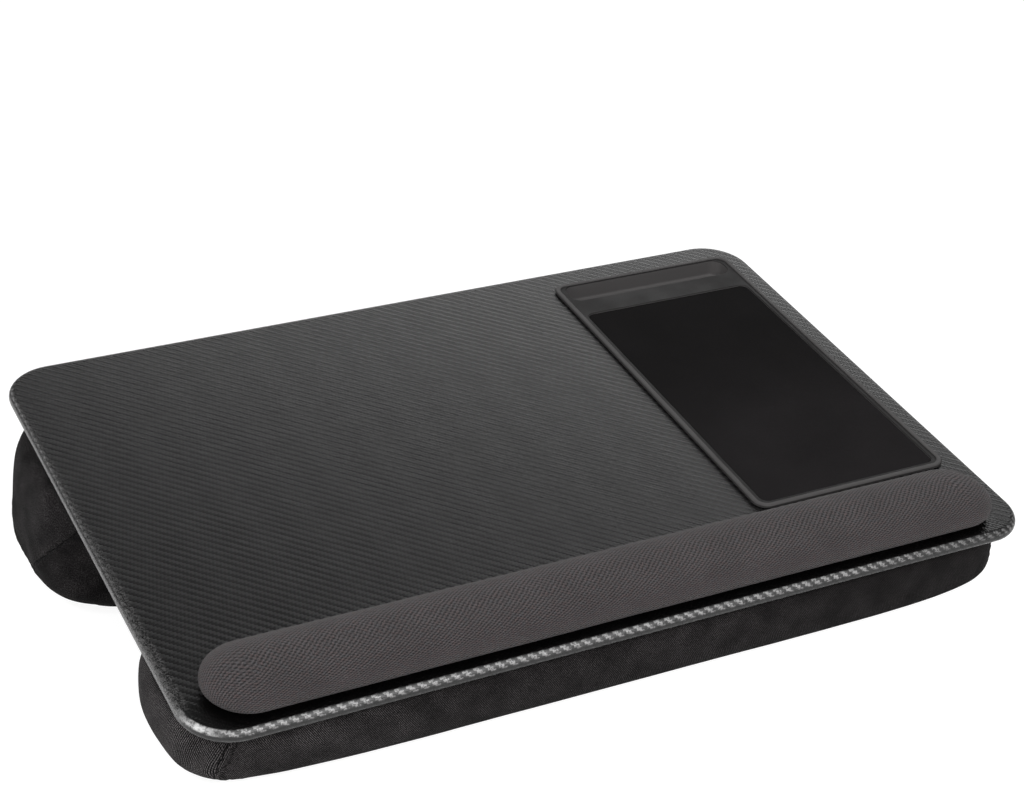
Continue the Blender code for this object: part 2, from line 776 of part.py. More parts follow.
def build():
    wood = make_material("board_fibre", (0.42, 0.29, 0.17), 0.85)
    film = make_material("embossed_film", (0.030, 0.029, 0.029), 0.55)
    plastic = make_material("tray_plastic", (0.068, 0.067, 0.068), 0.5)
    rubber = make_material("pad_rubber", (0.012, 0.012, 0.012), 0.85)
    pad_cloth = make_material("pad_cloth", (0.011, 0.010, 0.010), 0.95)
    knit = make_material("rest_knit", (0.060, 0.052, 0.052), 0.9)
    foam = make_material("rest_foam", (0.5, 0.48, 0.4), 0.95)
    tape = make_material("rest_tape", (0.6, 0.6, 0.58), 0.6)
    polyester = make_material("bolster_cloth", (0.024, 0.022, 0.023), 0.92)
    lining = make_material("lining_cloth", (0.02, 0.02, 0.02), 0.95)
    filling = make_material("bolster_fill", (0.8, 0.8, 0.78), 0.95)
    steel = make_material("screw_steel", (0.25, 0.25, 0.25), 0.4, 1.0)
    panel_wood = make_material("panel_wood", (0.03, 0.03, 0.03), 0.7)

    tray_hole = make_tray_hole()
    holes = make_screws(steel)
    boss_holes = {name: hole for name, hole in holes.items() if name.startswith("tray")}
    board_holes = [hole for name, hole in holes.items() if name.startswith("panel")]
    board = make_board(wood, tray_hole)
    for hole in board_holes:
        add_boolean(board, hole, "DIFFERENCE")
    panel = make_panel(panel_wood, holes.values())
    tray = make_tray(plastic, boss_holes)
    for obj in (board, make_film(film, tray_hole), panel, tray):
        shade(obj)
    make_mouse_pad(rubber, pad_cloth)
    make_wrist_rest(knit, foam, plastic, tape)
    for name, bolster in BOLSTERS.items():
        make_bolster(name, bolster, polyester, lining, filling)
    centre_over_origin()


clear_scene()
parts = make_collection("lap_desk")
cutters = make_collection("lap_desk_cutters")
deck_frame = bpy.data.objects.new("deck_frame", None)
bpy.context.scene.collection.objects.link(deck_frame)
deck_frame.location = (0.0, 0.0, DECK_HEIGHT)
deck_frame.rotation_euler = (tilt, 0.0, 0.0)
build()
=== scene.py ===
import math
from functools import partial

import bmesh
import bpy
import numpy as np
from mathutils import Matrix, Vector, noise
from mathutils.kdtree import KDTree


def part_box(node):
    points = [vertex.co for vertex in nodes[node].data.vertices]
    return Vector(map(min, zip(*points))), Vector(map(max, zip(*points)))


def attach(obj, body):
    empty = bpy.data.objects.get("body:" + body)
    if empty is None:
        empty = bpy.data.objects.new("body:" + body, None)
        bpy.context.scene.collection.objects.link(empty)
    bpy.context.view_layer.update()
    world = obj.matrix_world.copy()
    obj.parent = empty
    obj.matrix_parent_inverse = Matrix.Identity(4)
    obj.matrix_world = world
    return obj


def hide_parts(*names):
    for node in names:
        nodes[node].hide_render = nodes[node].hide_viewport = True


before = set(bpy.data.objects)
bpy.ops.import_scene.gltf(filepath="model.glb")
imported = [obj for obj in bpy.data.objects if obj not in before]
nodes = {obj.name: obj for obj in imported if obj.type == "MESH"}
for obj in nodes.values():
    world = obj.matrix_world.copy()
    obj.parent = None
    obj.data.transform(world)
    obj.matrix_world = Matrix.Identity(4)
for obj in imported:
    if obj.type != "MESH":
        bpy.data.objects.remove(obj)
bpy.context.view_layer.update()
mm = 0.001
print("frame loaded:", len(nodes), "CAD nodes")

# The desk's own frame: origin in the middle of the deck's upper face, tilted up at the rear.
# Every piece is drawn in it, in millimetres, and then laid into the CAD's frame.
deck = {
    "width": 527.0,
    "depth": 356.0,
    "thickness": 8.0,
    "cornerRadius": 30.0,
    "fullCorner": 25.5,
    "edgeRound": 3.92,
    "filmThickness": 0.5,
    "filmLap": 10.0,
    "tiltDegrees": 11.2,
}
tilt = math.radians(deck["tiltDegrees"])
deckLow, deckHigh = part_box("deck_film")
deckMiddle = (deckLow + deckHigh) / 2
upwards = Matrix.Rotation(tilt, 3, "X") @ Vector((0, 0, 1))
deckOrigin = deckMiddle + upwards * (deck["thickness"] / 2 * mm)
deckToWorld = Matrix.Translation(deckOrigin) @ Matrix.Rotation(tilt, 4, "X")
floorAtMiddle = deckOrigin.z / mm


def floorBelow(y):
    # height of the floor in the desk's frame, in millimetres
    return -(floorAtMiddle + y * math.sin(tilt)) / math.cos(tilt)


# Camera: stands at the photograph's place, and looks along the photograph's line.

view = {
    "place": (-0.5337, -1.0561, 0.6300),
    "right": (0.8899, -0.4561, -0.0012),
    "up": (0.1851, 0.3587, 0.9149),
    "lens": 75.28,
    "sensor": 36.0,
}


def makeCamera():
    right, up = Vector(view["right"]).normalized(), Vector(view["up"])
    back = right.cross(up).normalized()
    up = back.cross(right)
    data = bpy.data.cameras.new("photoCamera")
    data.sensor_width = view["sensor"]
    data.lens = view["lens"]
    data.clip_start = 0.05
    data.clip_end = 60.0
    camera = bpy.data.objects.new("photoCamera", data)
    turn = Matrix((right, up, back)).transposed()
    camera.matrix_world = Matrix.Translation(view["place"]) @ turn.to_4x4()
    bpy.context.scene.collection.objects.link(camera)
    bpy.context.scene.camera = camera


makeCamera()
print("camera placed")


# Materials

smooth = {"interpolation_type": "SMOOTHSTEP"}  # settings that many nodes share
tint = {"data_type": "RGBA"}
multiply = {"data_type": "RGBA", "blend_type": "MULTIPLY"}


def linear(hexColour):
    # sRGB hex to the linear values that the shader takes
    def channel(value):
        value /= 255
        return value / 12.92 if value <= 0.04045 else ((value + 0.055) / 1.055) ** 2.4

    digits = hexColour.lstrip("#")
    return (*(channel(int(digits[i : i + 2], 16)) for i in (0, 2, 4)), 1.0)


def plug(socket, source):
    # a hex colour or a value is set on the socket; a node or an output is linked to it
    if isinstance(source, str):
        source = linear(source)
    if isinstance(source, (int, float, tuple)):
        socket.default_value = source
    elif source is not None:
        output = next((o for o in getattr(source, "outputs", []) if o.enabled), source)
        socket.id_data.links.new(output, socket)


def addNode(tree, kind, *sources, stops=(), **settings):
    # one node, whose sources go to its inputs in order; a kind in capitals is a Math operation,
    # which takes more than two sources one after another
    if kind.isupper():
        while len(sources) > 2:
            sources = (addNode(tree, kind, *sources[:2]), *sources[2:])
        kind, settings["operation"] = "Math", kind
    node = tree.nodes.new("ShaderNode" + kind)
    for name, value in settings.items():
        setattr(node, name, value)
    for socket, source in zip([s for s in node.inputs if s.enabled], sources):
        plug(socket, source)
    for i, (place, colour) in enumerate(stops):
        node.color_ramp.elements[i].position = place
        node.color_ramp.elements[i].color = linear(colour)
    return node


def dress(material, **sources):
    # sets or links the inputs of the material's shader
    shader = material.node_tree.nodes["Principled BSDF"]
    for name, source in sources.items():
        plug(shader.inputs[name.replace("_", " ")], source)
    return material


def startMaterial(name, roughness, **values):
    # the material, and the function that adds a node to it
    material = bpy.data.materials.new(name)
    material.use_nodes = True
    dress(material, Roughness=roughness, **values)
    return material, partial(addNode, material.node_tree)


def mottle(add, place, size, detail, low, high, roughness=0.5):
    # blotches about size millimetres across; low and high are a noise level and its colour
    noiseNode = add("TexNoise", place, 1 / size, detail, roughness)
    return add("ValToRGB", noiseNode, stops=(low, high))


def between(add, first, start, second, end):
    # 1 where both values are past their limits, with soft shoulders
    rising = add("MapRange", first, *start, **smooth)
    return add("MULTIPLY", rising, add("MapRange", second, *end, **smooth))


def cells(add, place, across, along):
    # splits a place in millimetres into threads: (number, part of the way over it) for each way
    found = []
    for part, size in zip(add("SeparateXYZ", place).outputs, (across, along)):
        scaled = add("DIVIDE", part, size)
        found.append((add("FLOOR", scaled), add("FRACT", scaled)))
    return found


def hump(add, part):
    # 0 at a thread's sides and 1 on its middle
    return add("SINE", add("MULTIPLY", part, math.pi))


def deckPlace(add):
    # the desk's frame in millimetres, for CAD nodes, whose meshes lie in the CAD's frame
    moved = add("VectorMath", add("TexCoord").outputs["Object"], tuple(deckOrigin), operation="SUBTRACT")
    turned = add("VectorRotate", moved, None, -tilt, rotation_type="X_AXIS")
    return add("VectorMath", turned, 1000.0, operation="SCALE")


def keptPlace(add, name):
    # a place in millimetres that a piece's mesh carries, laid out along its own cloth or film
    return add("Attribute", attribute_name=name).outputs["Vector"]


filmLook = {
    "towWidth": 1.62,  # measured: the twill repeats every four tows, 6.5 mm
    "warp": "#0d0c0d",
    "weft": "#060606",
    # painted highlights: pale greys that stand in for the sheen on the rolled edges
    "rollHighlight": "#8e8d8d",
    "cornerHighlight": "#b8b8b8",
    # painted shadow for the strip in front of the wrist rest
    "paintedRestShadow": "#030303",
    "reliefDepth": 0.07,
    "fibrePitch": 0.4,
    "fibreDepth": 0.008,
    "warpRoughness": 0.22,
    "weftRoughness": 0.38,
    "lineHighlight": 0.36,  # how bright the painted highlights of the left edge's line, its dots and its specks are
    "dotsHighlight": 0.15,
    "specksHighlight": 0.17,
    # from none to full, in millimetres across or along the desk
    "nearFront": (-144.0, -164.0),
    "nearLeft": (-235.0, -255.0),
    "nearCorner": (-244.0, -257.0),
    "weakerRight": (120.0, 250.0),
    "widerLine": (-20.0, -120.0),
    "specksInside": (-256.8, -259.3),
    "stripFront": (-138.0, -156.0),
    "stripRight": (247.0, 238.0),
    # from none to full, in millimetres past the flat, round the edge
    "pulled": (0.5, 1.7),
    "highlightEnds": (3.9, 5.6),
    "pressedFlat": (4.4, 6.0),
    "lineStart": (3.4, 4.6),
    "lineEnd": (6.6, 5.6),
    "dotsStart": (0.3, 1.2),
    "dotsEnd": (3.4, 2.4),
}


def makePvcFilm():
    # Calendered PVC film, embossed as 2/2 twill carbon: nearly black, its grey mostly gloss, with
    # painted highlights on its rolled edges. The ribs climb to the left, and each tow catches the light
    # by the way its fibres run.
    look = filmLook
    material, add = startMaterial("embossedPvcFilm", 0.34, IOR=1.55)
    place = keptPlace(add, "filmPlace")
    across, along, run = add("SeparateXYZ", place).outputs
    (column, acrossColumn), (row, acrossRow) = cells(add, place, look["towWidth"], look["towWidth"])
    step = add("FLOORED_MODULO", add("ADD", column, row), 4.0)
    warpOnTop = add("LESS_THAN", step, 1.5)
    # a float is highest at its middle, two tows along, and dives at both ends
    passed = add("FLOORED_MODULO", step, 2.0)
    heights, fibres = [], []  # of the weft and of the warp
    for over, beside, way in ((acrossRow, acrossColumn, along), (acrossColumn, acrossRow, across)):
        floated = hump(add, add("MULTIPLY", add("ADD", passed, beside), 0.5))
        heights.append(add("MULTIPLY", add("POWER", hump(add, over), 0.6), floated))
        fibres.append(add("SINE", add("MULTIPLY", way, 2 * math.pi / look["fibrePitch"])))
    towHeight = add("Mix", warpOnTop, *heights)
    fine = add("MULTIPLY", add("Mix", warpOnTop, *fibres), look["fibreDepth"] / look["reliefDepth"])
    grain = add("MULTIPLY", add("TexNoise", place, 1 / 0.5), 0.08)
    # stretched flat below the edge, it has no relief left
    flatter = add("SUBTRACT", 1.0, add("MapRange", run, *look["pressedFlat"], **smooth))
    embossed = add("MULTIPLY", add("ADD", towHeight, fine, grain), flatter)
    tows = add("Mix", warpOnTop, look["weft"], look["warp"], **tint)
    # painted shade: the tows are drawn darker towards the valleys between them
    valleyShade = add("ValToRGB", towHeight, stops=((0.05, "#3a3a3a"), (0.5, "#ffffff")))
    tows = add("Mix", 1.0, tows, valleyShade, **multiply)
    cloud = mottle(add, place, 38.0, 3.0, (0.3, "#d0d0d0"), (0.7, "#ffffff"))
    flat = add("Mix", 1.0, tows, cloud, **multiply)
    # painted highlight: round the front edge the warp tows are drawn pale, in place of the sheen on the
    # rolled edge
    front = add("MapRange", along, *look["nearFront"])
    notFront = add("SUBTRACT", 1.0, front)
    corner = add("MULTIPLY", add("MapRange", across, *look["nearCorner"], **smooth), front)
    pulled = add("MapRange", run, *look["pulled"], **smooth)
    lower = add("MapRange", run, *look["highlightEnds"], **smooth)
    weaker = add("MULTIPLY", add("MapRange", across, *look["weakerRight"], **smooth), 0.5)
    band = add("MULTIPLY", pulled, add("SUBTRACT", 1.0, lower), add("SUBTRACT", 1.0, weaker))
    pepper = mottle(add, place, 1.5, 3.0, (0.36, "#747474"), (0.54, "#ffffff"), 0.7)
    woven = add("MULTIPLY", pepper, add("ADD", add("MULTIPLY", warpOnTop, 0.8), 0.13))
    # round the corner the painted highlight breaks up into blotches
    blotches = mottle(add, place, 3.4, 4.0, (0.38, "#4a4a4a"), (0.55, "#ffffff"), 0.7)
    uneven = add("Mix", corner, woven, blotches, **tint)
    white = add("Mix", corner, look["rollHighlight"], look["cornerHighlight"], **tint)
    # down the left edge the painted highlight is only a line, with fine specks inside it
    onLeft = add("MULTIPLY", add("MapRange", across, *look["nearLeft"]), notFront)
    risen = add("ADD", run, add("MapRange", along, *look["widerLine"], **smooth))
    line = between(add, risen, look["lineStart"], run, look["lineEnd"])
    line = add("MULTIPLY", line, pepper, look["lineHighlight"])
    dotted = between(add, run, look["dotsStart"], run, look["dotsEnd"])
    dotted = add("MULTIPLY", dotted, warpOnTop, look["dotsHighlight"])
    specks = mottle(add, place, 0.75, 1.0, (0.46, "#000000"), (0.6, "#ffffff"))
    leaning = add("ADD", across, add("MULTIPLY", along, 0.01))
    inside = add("MULTIPLY", add("MapRange", leaning, *look["specksInside"], **smooth), notFront)
    salt = add("MULTIPLY", inside, specks, look["specksHighlight"])
    rimHighlight = add("ADD", line, dotted, salt)
    paintedHighlight = add("Mix", onLeft, add("MULTIPLY", band, uneven), rimHighlight)
    # painted shadow: the strip in front of the wrist rest is drawn near black, and keeps a deep gloss
    paintedRestShadow = between(add, along, look["stripFront"], across, look["stripRight"])
    paintedRestShadow = add("MULTIPLY", paintedRestShadow, add("SUBTRACT", 1.0, pulled))
    film = add("Mix", paintedRestShadow, flat, look["paintedRestShadow"], **tint)
    worn = add("MULTIPLY", add("TexNoise", place, 1 / 60.0, 3.0), 0.08)
    glossier = look["warpRoughness"] - look["weftRoughness"]
    shine = add("ADD", add("MULTIPLY", warpOnTop, glossier), look["weftRoughness"] - 0.04)
    pits = add("MULTIPLY", inside, add("SUBTRACT", 1.0, specks), 0.6)
    return dress(
        material,
        Base_Color=add("Mix", paintedHighlight, film, white, **tint),
        Roughness=add("Mix", add("MAXIMUM", paintedRestShadow, pits), add("ADD", shine, worn), 0.1),
        Normal=add("Bump", 1.0, look["reliefDepth"] * mm, None, embossed),
    )


absLook = {
    # painted highlight: the bead's lighter colour
    "bead": "#5a5858",
    "beadHeights": (1.55, 2.0),  # over these the bead gets its painted highlight and a little more gloss, in millimetres above the deck
    "slotWallHighlight": "#545252",
    "slotHeights": (1.4, 0.6),
}


def makeAbs():
    # ABS, injection moulded in a spark-eroded tool: an even matt grain, a little glossier on crests
    look = absLook
    material, add = startMaterial("mouldedAbs", 0.5, IOR=1.53, Specular_IOR_Level=0.16)
    place = deckPlace(add)
    # the real grain is 0.1 mm; it is drawn coarser, so that it shows
    grain = add("TexNoise", place, 1 / 0.45, 3.0, 0.6)
    colour = mottle(add, place, 0.9, 4.0, (0.3, "#1b1a1a"), (0.7, "#242323"), 0.65)
    # painted highlight: the bead is drawn a little lighter than the land inside it, and it is a little
    # glossier
    height = add("SeparateXYZ", place).outputs[2]
    rimHighlight = add("MapRange", height, *look["beadHeights"], **smooth)
    body = add("Mix", add("MULTIPLY", rimHighlight, 0.45), colour, look["bead"], **tint)
    # painted highlight: the slot's walls are drawn paler, in place of their reflections
    slotHighlight = add("MULTIPLY", add("MapRange", height, *look["slotHeights"], **smooth), 0.75)
    shine = mottle(add, place, 24.0, 2.0, (0.35, "#b4b4b4"), (0.7, "#cecece"))
    return dress(
        material,
        Base_Color=add("Mix", slotHighlight, body, look["slotWallHighlight"], **tint),
        Roughness=add("SUBTRACT", shine, add("MULTIPLY", rimHighlight, 0.1)),
        Normal=add("Bump", 0.8, 0.05 * mm, None, grain),
    )


def makePadJersey():
    # Brushed polyester jersey on the mouse pad: nearly black, no gloss, a fine even nap
    values = {"Specular_IOR_Level": 0.06, "Sheen_Weight": 0.01, "Sheen_Roughness": 0.6}
    material, add = startMaterial("padJersey", 0.95, **values)
    place = deckPlace(add)
    (_, overColumn), (_, overRow) = cells(add, place, 0.7, 0.55)  # loops, drawn twice as coarse as real
    loops = add("MULTIPLY", hump(add, overColumn), hump(add, overRow))
    nap = add("TexNoise", place, 1 / 0.6, 4.0, 0.7)
    # painted shade: the jersey is drawn darker towards the rear and paler at the front
    litFront = add("MapRange", add("SeparateXYZ", place).outputs[1], 60.0, -60.0, **smooth)
    shadedRear = add("ValToRGB", nap, stops=((0.3, "#0c0b0b"), (0.7, "#141213")))
    paintedLight = add("ValToRGB", nap, stops=((0.3, "#171516"), (0.7, "#201e1f")))
    worn = mottle(add, place, 55.0, 2.0, (0.3, "#dcdcdc"), (0.7, "#ffffff"))
    return dress(
        material,
        Base_Color=add("Mix", 1.0, add("Mix", litFront, shadedRear, paintedLight, **tint), worn, **multiply),
        Normal=add("Bump", 0.6, 0.08 * mm, None, add("ADD", loops, nap)),
    )


knitLook = {
    "column": 1.62,  # measured: staggered holes about 3.2 mm apart across and 1.8 mm along
    "row": 0.9,
    "thread": "#585253",
    "gap": "#100e0f",
}


def makeKnit():
    # Warp-knitted polyester: a close grey net with small staggered holes in slanting rows,
    # its threads flecked with brown
    look = knitLook
    values = {"Specular_IOR_Level": 0.3, "Sheen_Weight": 0.1, "Sheen_Roughness": 0.5}
    material, add = startMaterial("warpKnit", 0.88, **values)
    place = keptPlace(add, "knitPlace")
    # the threads wander a little, so that the rows of holes come out uneven
    stray = add("TexNoise", place, 1 / 3.0).outputs["Color"]
    moved = add("VectorMath", place, add("VectorMath", stray, 0.9, operation="SCALE"), operation="ADD")
    parts = add("SeparateXYZ", moved).outputs
    across = add("MULTIPLY", parts[0], math.pi / look["column"])
    along = add("MULTIPLY", parts[1], math.pi / look["row"])
    # two sets of slanting threads; the set that rises to the right lies on top
    rising = add("MULTIPLY", add("COSINE", add("SUBTRACT", across, along)), 0.58)
    falling = add("MULTIPLY", add("COSINE", add("ADD", across, along)), 0.42)
    fuzz = add("TexNoise", place, 1 / 0.8, 3.0, 0.7)
    frayed = add("ADD", rising, falling, add("MULTIPLY", add("SUBTRACT", fuzz, 0.5), 1.5))
    holes = add("MapRange", frayed, -0.95, 0.6, **smooth)
    colour = add("ValToRGB", holes, stops=((0.0, look["gap"]), (1.0, look["thread"])))
    fibre = add("ValToRGB", fuzz, stops=((0.32, "#909090"), (0.64, "#ffffff")))
    heather = mottle(add, place, 2.4, 4.0, (0.38, "#eefaff"), (0.62, "#ffece9"), 0.7)
    patches = mottle(add, place, 26.0, 2.0, (0.3, "#e8e8e8"), (0.7, "#ffffff"))
    for shade in (fibre, heather, patches):
        colour = add("Mix", 1.0, colour, shade, **multiply)
    full = add("ADD", holes, add("MULTIPLY", fuzz, 0.5))
    return dress(material, Base_Color=colour, Normal=add("Bump", 1.0, 0.28 * mm, None, full))


twillLook = {
    "pitch": {"wrap": 0.92, "end": 1.15},  # measured: how far apart the twill lines look
    "lineAngle": {"wrap": 33.5, "end": 13.5},
    "floatPitch": 1.12,
    "floatAngle": -27.5,
    "lineDepth": {"front": 0.42, "rear": 0.02},
    "grain": {"front": 2.6, "rear": 1.5},
    # painted shade: the rear bolster's cloth is drawn darker; painted light: the end panels' threads are
    # lighter
    "wrapThread": {"front": "#545051", "rear": "#474445"},
    "litEndThread": {"front": "#767273", "rear": "#6d696a"},
    "patch": {"front": "#b4b4b4", "rear": "#8c8c8c"},
    "worn": {"front": 0.75, "rear": 0.0},
    "gap": "#070606",
    # painted shade in the seam's folds
    "fold": "#1e1e1e",
    "puckers": {"front": 1.1, "rear": 0.45},
    "stitchPitch": 4.2,
    # from none to full, in millimetres along the cushion
    "palerLeft": (-90.0, -210.0),
    "rubbedRight": (20.0, 170.0),
    # from none to full, in millimetres from the seam, and how far the stitches pull it off its line
    "foldReach": (1.0, 0.1),
    "puckerReach": (6.5, 1.0),
    "foldLean": (-2.5, 2.5, 0.4),
    "wander": 8.0,
    "foldDepth": 2.5,
}


def makeTwill(place, name):
    # Piece-dyed polyester twill, 300 denier: fine diagonal lines, soft worn patches, low sheen
    look = twillLook
    values = {"Specular_IOR_Level": 0.08, "Sheen_Weight": 0.012, "Sheen_Roughness": 0.45}
    material, add = startMaterial(name, 0.9, **values)
    laid = keptPlace(add, "clothPlace")
    alongWrap, upEnd, _ = add("SeparateXYZ", laid).outputs
    # the end panels are cut another way of the cloth, so their lines look wider apart; their threads
    # are drawn lighter, which is painted light
    onEnd = add("GREATER_THAN", upEnd, 0.0)
    wobble = add("MULTIPLY", add("TexNoise", laid, 1 / 9.0, 3.0), 1.1)

    def ribs(degrees, pitch):
        # fine ridges, square to the given direction
        turn = math.radians(degrees)
        way = (math.cos(turn) / pitch, math.sin(turn) / pitch, 0.0)
        phase = add("ADD", add("VectorMath", laid, way, operation="DOT_PRODUCT"), wobble)
        return add("SINE", add("MULTIPLY", phase, 2 * math.pi))

    onWrap = ribs(look["lineAngle"]["wrap"], look["pitch"]["wrap"])
    floats = add("MULTIPLY", ribs(look["floatAngle"], look["floatPitch"]), 0.45)
    acrossEnd = add("ADD", ribs(look["lineAngle"]["end"], look["pitch"]["end"]), floats)
    lines = add("Mix", onEnd, onWrap, acrossEnd)
    fuzz = add("SUBTRACT", add("TexNoise", laid, 1 / 0.8, 3.0, 0.75), 0.5)
    grain = add("ADD", add("MULTIPLY", fuzz, look["grain"][place]), 0.5)
    height = add("ADD", grain, add("MULTIPLY", lines, look["lineDepth"][place]))
    # painted light: the wrap is drawn paler towards its left end too
    nearLeft = add("MULTIPLY", add("MapRange", alongWrap, *look["palerLeft"], **smooth), 0.45)
    paintedLight = add("MAXIMUM", onEnd, nearLeft)
    thread = add("Mix", paintedLight, look["wrapThread"][place], look["litEndThread"][place], **tint)
    # towards the right end the wrap is rubbed smooth and a little darker
    toRight = add("MapRange", alongWrap, *look["rubbedRight"], **smooth)
    smoothed = add("MULTIPLY", toRight, add("SUBTRACT", 1.0, onEnd), look["worn"][place])
    shade = add("Mix", smoothed, add("MapRange", height, 0.4, 1.25), 0.12)
    threads = add("Mix", shade, look["gap"], thread, **tint)
    blotches = mottle(add, laid, 17.0, 4.0, (0.34, look["patch"][place]), (0.66, "#ffffff"), 0.55)
    cloth = add("Mix", 1.0, threads, blotches, **multiply)
    # along a seam the stitches pucker the cloth, and the folds are drawn darker, as painted shade
    beside, along, foldAt = add("SeparateXYZ", keptPlace(add, "seamPlace")).outputs
    wander = add("SUBTRACT", add("TexNoise", add("CombineXYZ", along, foldAt), 1 / 4.6), 0.5)
    off = add("ABSOLUTE", add("ADD", beside, add("MULTIPLY", wander, look["wander"])))
    toFold = add("ABSOLUTE", add("SUBTRACT", off, foldAt))
    # the fold on the end panel's side is the deeper one
    lean = add("MapRange", beside, *look["foldLean"])
    fold = add("MULTIPLY", add("MapRange", toFold, *look["foldReach"], **smooth), lean)
    paintedFoldShade = add("Mix", fold, "#ffffff", look["fold"], **tint)
    stitches = add("SINE", add("MULTIPLY", along, 2 * math.pi / look["stitchPitch"]))
    near = add("MapRange", off, *look["puckerReach"], **smooth)
    puckers = add("MULTIPLY", stitches, near, look["puckers"][place])
    sunk = add("SUBTRACT", add("ADD", height, puckers), add("MULTIPLY", fold, look["foldDepth"]))
    return dress(
        material,
        Base_Color=add("Mix", 1.0, cloth, paintedFoldShade, **multiply),
        Normal=add("Bump", 0.9, 0.2 * mm, None, sunk),
    )


def makeFibreboard():
    # Raw MDF, sawn: pale brown with short fibres and darker flecks
    material, add = startMaterial("rawFibreboard", 0.85, Specular_IOR_Level=0.25)
    place = deckPlace(add)
    fibres = add("TexNoise", place, 1 / 0.8, 5.0, 0.7)
    colour = add("ValToRGB", fibres, stops=((0.3, "#8f7350"), (0.7, "#b3946d")))
    flecks = mottle(add, place, 2.6, 2.0, (0.6, "#ffffff"), (0.72, "#8d7c68"))
    return dress(
        material,
        Base_Color=add("Mix", 1.0, colour, flecks, **multiply),
        Normal=add("Bump", 0.6, 0.15 * mm, None, fibres),
    )


def makeBlackPanel():
    # Fibreboard with a black melamine paper face: fine orange peel, faint scuffs
    material, add = startMaterial("blackMelamine", 0.55, IOR=1.5)
    place = deckPlace(add)
    return dress(
        material,
        Base_Color=mottle(add, place, 30.0, 5.0, (0.35, "#1b1a1a"), (0.7, "#262525"), 0.7),
        Roughness=mottle(add, place, 6.0, 5.0, (0.4, "#858585"), (0.7, "#b5b5b5"), 0.75),
        Normal=add("Bump", 0.6, 0.06 * mm, None, add("TexNoise", place, 1 / 1.4, 3.0)),
    )


def makeZincSteel():
    # Steel screw, blue-zinc plated: bright, with fine turning marks
    material, add = startMaterial("zincPlatedSteel", 0.3, Metallic=1.0)
    marks = add("TexNoise", deckPlace(add), 1 / 0.35, 4.0, 0.6)
    return dress(
        material,
        Base_Color=add("ValToRGB", marks, stops=((0.3, "#9b9ea1"), (0.7, "#b9bcbf"))),
        Roughness=add("ValToRGB", marks, stops=((0.3, "#4a4a4a"), (0.7, "#737373"))),
        Normal=add("Bump", 0.5, 0.02 * mm, None, marks),
    )


def makeEven(name, roughness, values, texture, low, high, depth, strength):
    # a finish whose colour and relief both follow one texture
    material, add = startMaterial(name, roughness, **values)
    kind, *numbers = texture
    marks = add(kind, deckPlace(add), *numbers)
    colour = add("ValToRGB", marks, stops=(low, high))
    return dress(material, Base_Color=colour, Normal=add("Bump", strength, depth * mm, None, marks))


pvcFilm = makePvcFilm()
mouldedAbs = makeAbs()
padJersey = makePadJersey()
# natural sponge rubber, cut from sheet: open black cells on the cut edge
spongeRubber = makeEven(
    "spongeRubber", 0.85, {"Specular_IOR_Level": 0.3}, ("TexVoronoi", 1.6),
    (0.1, "#0e0e0e"), (0.6, "#1d1c1c"), 0.12, 0.8,
)
warpKnit = makeKnit()
# one cloth for both bolsters; the rear bolster's copy is drawn darker, as painted shade
twills = {"front": makeTwill("front", "polyesterTwill"), "rear": makeTwill("rear", "polyesterTwillShadedRear")}
fibreboard = makeFibreboard()
blackPanel = makeBlackPanel()
zincSteel = makeZincSteel()
# high-impact polystyrene sheet, black, vacuum-cut: the wrist rest's stiff base
blackSheet = makeEven(
    "blackPolystyrene", 0.5, {"IOR": 1.59}, ("TexNoise", 1 / 5.0, 4.0),
    (0.3, "#161616"), (0.7, "#1e1e1e"), 0.03, 0.5,
)
# acrylic adhesive tape on a foam carrier: dark grey, closed cells on its cut edge
foamTape = makeEven(
    "foamTape", 0.7, {"Specular_IOR_Level": 0.4}, ("TexVoronoi", 3.0),
    (0.1, "#242424"), (0.6, "#303030"), 0.05, 0.5,
)
print("materials made")


# Rings: closed outlines joined one above the other, which make every moulded piece


def outline(width, depth, radius, centre=(0.0, 0.0), inset=0.0, steps=12, run=0):
    # a rounded rectangle, counter-clockwise; run adds points along its straight sides
    halfWidth, halfDepth = width / 2 - inset, depth / 2 - inset
    radii = radius if isinstance(radius, tuple) else (radius,) * 4
    corners = []
    for sideX, sideY, start in ((1, -1, -90), (1, 1, 0), (-1, 1, 90), (-1, -1, 180)):
        corner = max(radii[start // 90 + 1] - inset, 0.05)
        middleX = centre[0] + sideX * (halfWidth - corner)
        middleY = centre[1] + sideY * (halfDepth - corner)
        angles = [math.radians(start + 90 * k / steps) for k in range(steps + 1)]
        corners.append(
            [(middleX + corner * math.cos(t), middleY + corner * math.sin(t)) for t in angles]
        )
    points = []
    for corner, following in zip(corners, corners[1:] + corners[:1]):
        a, b = corner[-1], following[0]
        shares = [k / (run + 1) for k in range(1, run + 1)]
        points += corner + [(a[0] + (b[0] - a[0]) * s, a[1] + (b[1] - a[1]) * s) for s in shares]
    return points


def addRing(bm, points, height):
    return [bm.verts.new((x, y, height)) for x, y in points]


def joinRings(bm, rings):
    for first, second in zip(rings, rings[1:]):
        count = len(first)
        for i in range(count):
            j = (i + 1) % count
            bm.faces.new((first[i], first[j], second[j], second[i]))


def addWalls(bm, profile, shape):
    # one ring of the shape for each inset and height of the profile, joined up
    rings = [addRing(bm, outline(*shape, inset=inset), height) for inset, height in profile]
    joinRings(bm, rings)
    return rings


def fillFlat(bm, *rings):
    edges = []
    for ring in rings:
        for i, vert in enumerate(ring):
            pair = (vert, ring[(i + 1) % len(ring)])
            edges.append(bm.edges.get(pair) or bm.edges.new(pair))
    bmesh.ops.triangle_fill(bm, use_beauty=True, use_dissolve=False, edges=edges)


